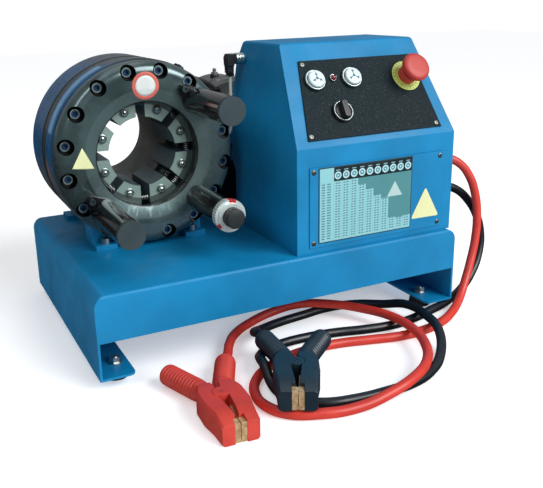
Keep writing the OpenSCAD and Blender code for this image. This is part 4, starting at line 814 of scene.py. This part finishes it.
# Battery clamps
clamp = {"spread": 23, "handleStart": 14, "rootRadius": 10, "handleRadius": 13.3, "gripFrom": 40, "reach": 98,
         "ribs": 10, "ribDepth": 1.1, "height": 30, "jaw": 62, "knuckle": 10, "toothPitch": 3, "lip": 2.6,
         "places": {"red": ((109, -108, 0), -4, 1), "black": ((205, -108, 14), -27, -1)},  # place, turn and side
         "stations": [  # along the clamp: inner edge, outer edge and top
             (24, 5.2, 20, 29.4), (22, 4.6, 21.8, 30), (15, 3.1, 24.6, 30), (9, 1.9, 26.6, 30), (6, 1.3, 27, 30),
             (3, 0.7, 27, 30), (0, 0.25, 27, 30), (-4, 0.25, 27, 30), (-8.8, 0.25, 27, 30), (-9.2, 6.4, 27, 30),
             (-20, 5.2, 27, 30), (-33, 3.8, 24.6, 30), (-40, 3.0, 23.4, 30), (-48.8, 2.2, 22.8, 27.9),
             (-49.2, 7.0, 22.8, 27.8), (-60, 7.0, 22.1, 25.4), (-62, 7.0, 21.2, 24)]}


def sawTeeth(start, end, low, high, lean=0.0):  # an outline of teeth along y
    outline, y = [], start
    while y < end:
        shift = lean * (y - start)
        outline += [(low + shift, y), (high + shift, y + clamp["toothPitch"] / 2)]
        y += clamp["toothPitch"]
    return outline


def makeClampHalf(colour, place, flip, fixed):
    lip, jaw, knuckle, height, grip, root, start, reach, first = (clamp[key] for key in (
        "lip", "jaw", "knuckle", "height", "handleRadius", "rootRadius", "handleStart", "reach", "gripFrom"))
    shape, rings = Shape(), []
    for y, inner, outer, top in clamp["stations"]:
        if not fixed and abs(y) < knuckle + 0.3:
            inner = max(inner, math.sqrt((knuckle + 0.4) ** 2 - y * y))
        section = [(inner, 0.6), (inner + 0.6, 0), (outer - lip, 0), (outer, lip), (outer, top - lip),
            (outer - lip, top), (inner + 0.6, top), (inner, top - 0.6)]
        rings.append([(flip * x, y, z) for x, z in section])
    shape.loft(rings, place)
    for low, high in ((0.05, 8), (22, height + 0.02)) if fixed else ((8.4, 21.6),):
        shape.lathe(softened([(3.05, low), (knuckle, low), (knuckle, high), (3.05, high), (3.05, low)], 0.4), place,
            40)
    profile = [(0, start), (root, start), (root + 1, 24), (grip - 0.3, first - 2)]
    last, steps = reach - 8, clamp["ribs"] * 8
    for k in range(steps + 1):
        wave = 0.5 + 0.5 * math.cos(2 * math.pi * k / 8)
        profile.append((grip - clamp["ribDepth"] * wave ** 2, first + (last - first) * k / steps))
    profile += [(grip - drop, reach - back) for drop, back in ((0.1, 5.5), (0.8, 2.6), (2.4, 0.6), (3.8, 0))]
    profile += [(6.9, reach), (6.9, reach - 16), (0, reach - 16)] if fixed else [(0, reach)]
    handle = place @ moved(0, 0, height / 2) @ turned(-flip * clamp["spread"]) @ turned(-90, "X")
    shape.lathe(profile, handle, 40)
    jawLiner = [(6.95, 0.6 - jaw)] + sawTeeth(0.6 - jaw, -50.5, 0.35, 1.5) + [(0.9, -49.4), (6.95, -49.4)]
    rail = sawTeeth(-49, -16, 0.8, 1.9, 2.2 / 33) + [(6, -15), (3.6, -49)]
    for outline, low, high in ((jawLiner, 1.2, 23.6), (rail, 4, 20)):
        shape.prism([(flip * x, y) for x, y in outline], low, high, place, 1)
    node = colour + ("_clamp_fixed" if fixed else "_clamp_moving")
    return shape.piece(colour + ("_clamp_half" if fixed else "_clamp_lever"), node, colour + "_clamp_plastic",
        "copper", body="root" if fixed else node, edge=0.7, crease=28)


for colour, (at, turn, flip) in clamp["places"].items():
    place = frameAt(*at) @ turned(turn)
    makeClampHalf(colour, place, flip, True)
    makeClampHalf(colour, place, -flip, False)
print("clamps made")

# Sensor plug, its cable and the pressure pipe
sensor = {"nut": 14, "nutRibs": 3, "plugRibs": 4, "lead": 4.5, "route": [
    (265.5, 185, 343), (265.5, 185, 335), (265.5, 185, 318), (265.5, 185, 298), (265.3, 185.5, 281),
    (264, 187, 266), (260.5, 189, 257), (258, 190, 247)]}


def makeSensor():
    low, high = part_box("sensor_socket")
    place = Matrix.Translation((high.x, (low.y + high.y) / 2, (low.z + high.z) / 2)) @ turned(-90, "Y")
    full = (high.x - low.x) / mm
    start = full - sensor["nut"]
    profile = [(0, 0), (6, 0), (6, start)]
    for k in range(sensor["nutRibs"]):
        z = start + sensor["nut"] * k / sensor["nutRibs"]
        profile += [(7.2, z + 0.3), (8, z + 0.9), (8, z + 3.8), (7.2, z + 4.4)]
    nut = Shape()
    nut.lathe(softened(profile + [(6, full), (0, full)], 0.3, 2), place, 48)
    nut.piece("socket_nut", "sensor_socket", "ring_aluminium")
    plug = Shape()
    low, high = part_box("sensor_plug")
    deep, wide, tall = ((b - a) / mm for a, b in zip(low, high))
    lowest = Matrix.Translation(low)
    flat = lowest @ moved(0, wide, 0) @ turned(90, "X")
    plug.prism([(0.6, tall - 6), (3, tall - 1), (deep, tall - 1), (deep, tall - 15), (11.5, tall - 15),
        (11.5, tall - 17.5), (1.2, tall - 17.5)], 0, wide, flat)
    plug.prism([(1.2, tall - 17), (11.3, tall - 17), (10.6, 8), (2, 8)], 1.6, wide - 1.6, flat)
    for k in range(sensor["plugRibs"]):  # on the drop and on the block
        z = 9.2 + k * 2.4
        plug.prism([(1.2, z), (11.4, z), (11.4, z + 1.1), (1.2, z + 1.1)], 1.1, wide - 1.1, flat)
        x = 3.4 + k * 2.9
        plug.prism([(x, tall - 14), (x + 1.2, tall - 14), (x + 1.2, tall - 2), (x, tall - 2)], -0.5, wide + 0.5, flat)
    plug.lathe([(3.4, 3.5), (3.6, 8.5), (0, 8.5)], lowest @ moved(7.5, wide / 2, 0), 28)
    plug.piece("angled_plug", "sensor_plug", "black_plastic", edge=0.7)
    curveThrough("sensor_lead", sensor["route"], sensor["lead"], "white_cable", "sensor_cable", 4)


pipe = {"diameter": 12, "axis": (126, 146, 250.7), "angle": 47, "depth": 120, "barrel": 125.5, "hold": 7,
        "run": 30, "lean": 10, "rise": 22, "end": (283, 282, 307.5), "seat": 5, "fitting": 20}


def makePipe():
    angle = math.radians(pipe["angle"])
    out = Vector((math.cos(angle), 0, math.sin(angle)))
    start = Vector(pipe["axis"]) + Vector((0, pipe["depth"], 0)) + out * (pipe["barrel"] + pipe["hold"])
    end = Vector(pipe["end"])
    along = Vector((out.z, 0, -out.x))
    bend = [start, start + along * pipe["run"], end + Vector((-pipe["lean"], 0, pipe["rise"])), end]
    points = []
    for k in range(12):
        t = k / 11
        weights = ((1 - t) ** 3, 3 * t * (1 - t) ** 2, 3 * t * t * (1 - t), t ** 3)
        points.append(sum((p * w for p, w in zip(bend, weights)), Vector((0, 0, 0))))
    curveThrough("pressure_hose", points, pipe["diameter"], "pipe_black", None)
    fittings = Shape()
    banjo = frameAt(*(start - out * pipe["hold"])) @ out.to_track_quat("Z", "X").to_matrix().to_4x4()
    port = frameAt(*(end - Vector((0, 0, pipe["seat"]))))
    for place in (banjo, port):
        fittings.lathe([(7, -10), (7, 0.1), (0, 0.1)], place, 32)
    fittings.lathe(softened([(0, 0.3), (10, 0.3), (10, 13.5), (0, 13.5)], 1), banjo, 40)
    fittings.prism(circleOf(6, 6), 13.4, 15.5, banjo)
    fittings.prism(circleOf(pipe["fitting"] / 2, 6), 0.05, 8.05, port)
    fittings.lathe(softened([(6.05, 8), (8.4, 8), (8.4, 12), (6.9, 13.5), (6.05, 13.5)], 0.4), port, 32)
    fittings.piece("pipe_fittings", "pressure_pipe", "oxide", edge=0.5)


# Power pack and the hood's rear
pack = {"motorEnd": (324, 384, 252.5), "boltRing": 62, "bolts": 4, "studs": (310, 338), "studPlace": (345, 326),
        "straps": (404, 482), "strapWidth": 14, "strap": 1.2, "tank": (218, 298, 124, 274), "gauge": (450, 298, 205),
        "louvres": 6, "louvreFrom": (402, 296), "louvrePitch": 12, "louvreLength": 90}


def makePowerPack():
    end = Shape()
    place = frameAt(*pack["motorEnd"]) @ turned(-90, "X")
    end.lathe(softened([(0, 2.4), (15, 2.4), (17, 1.6), (17, 0.02), (0, 0.02)], 0.5), place, 48)
    for low, high in ((30, 33), (46, 49)):
        end.lathe([(low, 0.02), (low + 0.5, 1.2), (high - 0.5, 1.2), (high, 0.02)], place, 64, loop=True)
    for k in range(pack["bolts"]):
        turn = place @ turned(45 + 360 / pack["bolts"] * k) @ moved(pack["boltRing"], 0, 0)
        end.lathe([(0, 0.8), (6.2, 0.7), (6.5, 0.02), (0, 0.02)], turn, 28, 1)
        end.prism(circleOf(5, 6), 0.6, 2.4, turn, 1)
    end.piece("motor_end_details", None, "motor", "zinc_steel", edge=0.2)
    studs = Shape()
    for x in pack["studs"]:
        at = frameAt(x, *pack["studPlace"])
        studs.lathe(softened([(0, 4), (7, 4), (7.5, -2), (0, -2)], 0.6), at, 32, 1)
        studs.prism(circleOf(6, 6), 3.9, 7.5, at)
        studs.lathe([(3, 7), (3, 13), (2.4, 13.8), (0, 13.8)], at, 24)
    studs.piece("motor_terminals", None, "zinc_steel", "black_plastic")
    # outlines in y and z, length along x
    sideways = Matrix(((0, 0, 1, 0), (1, 0, 0, 0), (0, 1, 0, 0), (0, 0, 0, 1)))
    straps = Shape()
    front, rear, low, high = pack["tank"]
    out = pack["strap"]
    for x in pack["straps"]:
        outline = [(front - out, low), (front - out, high + out), (rear + out, high + out), (rear + out, low),
            (rear, low), (rear, high), (front, high), (front, low)]
        straps.prism(outline, 0, pack["strapWidth"], frameAt(x, 0, 0) @ sideways)
    straps.piece("tank_straps", None, "oxide", edge=0.3)
    gauge = Shape()
    face = frameAt(*pack["gauge"]) @ turned(-90, "X")
    for half, tall, low, high, finish in ((8, 40, 0.02, 2.2, 0), (3.5, 27, 2.1, 2.7, 1)):
        arc = [(x, tall - half + y) for x, y in circleOf(half, 20)[:11]]
        gauge.prism(arc + [(-x, -y) for x, y in arc], low, high, face, finish)
    for y in (-33, 33):
        gauge.lathe([(0, 3.2), (2.2, 3), (2.8, 2.1), (0, 2.1)], face @ moved(0, y, 0), 20, 2)
    gauge.piece("level_gauge", None, "black_plastic", "paleYellow", "dullZinc", edge=0.3)
    louvres = Shape()
    rearWall = (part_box("box_hood")[1].y - corner.y) / mm
    x, z = pack["louvreFrom"]
    for k in range(pack["louvres"]):
        at = frameAt(x, rearWall, z + k * pack["louvrePitch"]) @ sideways
        louvres.prism([(0, 0.6), (3, 0.6), (2.4, 2.2), (0, 8)], 0, pack["louvreLength"], at)
        # a dark strip of painted shade under each louvre
        louvres.prism([(0, 0), (2.2, 0.4), (2.2, 0.7), (0, 0.7)], 1.5, pack["louvreLength"] - 1.5, at, 1)
    louvres.piece("hood_louvres", None, "blue_paint", "darkInkAndShade", edge=0.4)


for make in (makeSensor, makePipe, makePowerPack):
    make()
print("sensor, pipe and power pack made")

for colour, route in cables["route"].items():
    piece = curveThrough(colour + "_battery_cable", route, cables["diameter"], colour + "_jacket", colour + "_cable")
    spot(*route[0])
print("cables laid")

# Floor and light
light = {"floor": tint(244, 245, 246), "glow": 0.36, "reach": 6, "world": tint(246, 249, 255), "zenith": 0.36,
         "horizon": 0.3, "below": 0.12, "leftShare": 0.45, "backdrop": 1.0, "sun": 2.45,
         "sunFrom": (0.42, -0.78, 0.56), "sunSpread": 40,
         "areas": {"key": ((1.1, -1.5, 1.6), (0, 0, 0.15), (1.0, 1.0), 12),  # place, aim, size and watts
                   "strip": ((-1.3, -0.9, 1.6), (-0.15, 0, 0.25), (0.35, 1.4), 9),
                   "top": ((-0.2, 0.1, 2.2), (0, 0, 0.2), (2.0, 1.2), 6)}}


def addLight(name, kind, ahead, place=(0, 0, 0), **settings):
    lamp = addObject(name, fit(bpy.data.lights.new(name, kind), **settings))
    lamp.location = place
    lamp.rotation_euler = ahead.to_track_quat("-Z", "Y").to_euler()


def makeWorld():  # dimmer from below and from the left, and plain white behind everything
    world = bpy.data.worlds.new("studio")
    world.use_nodes = True
    board = Board(world.node_tree, "Generated")
    east, height = board.along(0), board.along(2)
    glow = board.span(height, 0, 0.9, light["horizon"], light["zenith"])
    glow = glow * board.span(east, -0.8, 0.3, light["leftShare"], 1)
    glow = glow * board.span(height, -0.1, 0.02, light["below"], 1)
    lit = board.node("ShaderNodeBackground", None, {"Color": light["world"], "Strength": glow})
    plain = board.node("ShaderNodeBackground", None, {"Color": (1, 1, 1, 1), "Strength": light["backdrop"]})
    seen = board.node("ShaderNodeLightPath", out="Is Camera Ray")
    both = board.node("ShaderNodeMixShader", None, {0: seen, 1: lit, 2: plain})
    board.tree.links.new(both.socket, board.tree.nodes["World Output"].inputs["Surface"])
    scene.world = world


def makeStage():
    mesh, reach = bpy.data.meshes.new("floor"), light["reach"]
    corners = [(x * reach, y * reach, 0) for x, y in ((-1, -1), (1, -1), (1, 1), (-1, 1))]
    mesh.from_pydata(corners, [], [(0, 1, 2, 3)])
    floor = addObject("floor", mesh)
    floor.visible_glossy = False  # dark surroundings in the glossy parts
    finish = Finish("pale floor", gloss=0.1)
    finish.drive(Base_Color=finish.mix(finish.noise(400, 3), light["floor"], shade(light["floor"], 1.02)),
        Emission_Color=(1, 1, 1, 1), Emission_Strength=light["glow"], Roughness=0.7)
    mesh.materials.append(finish.material)
    makeWorld()
    addLight("sun", "SUN", -Vector(light["sunFrom"]), energy=light["sun"], angle=math.radians(light["sunSpread"]))
    for name, (place, aim, (width, height), energy) in light["areas"].items():
        addLight(name, "AREA", Vector(aim) - Vector(place), place, shape="RECTANGLE", size=width, size_y=height,
                 energy=energy)
    scene.view_settings.view_transform = "Standard"


makeStage()
print("stage lit")
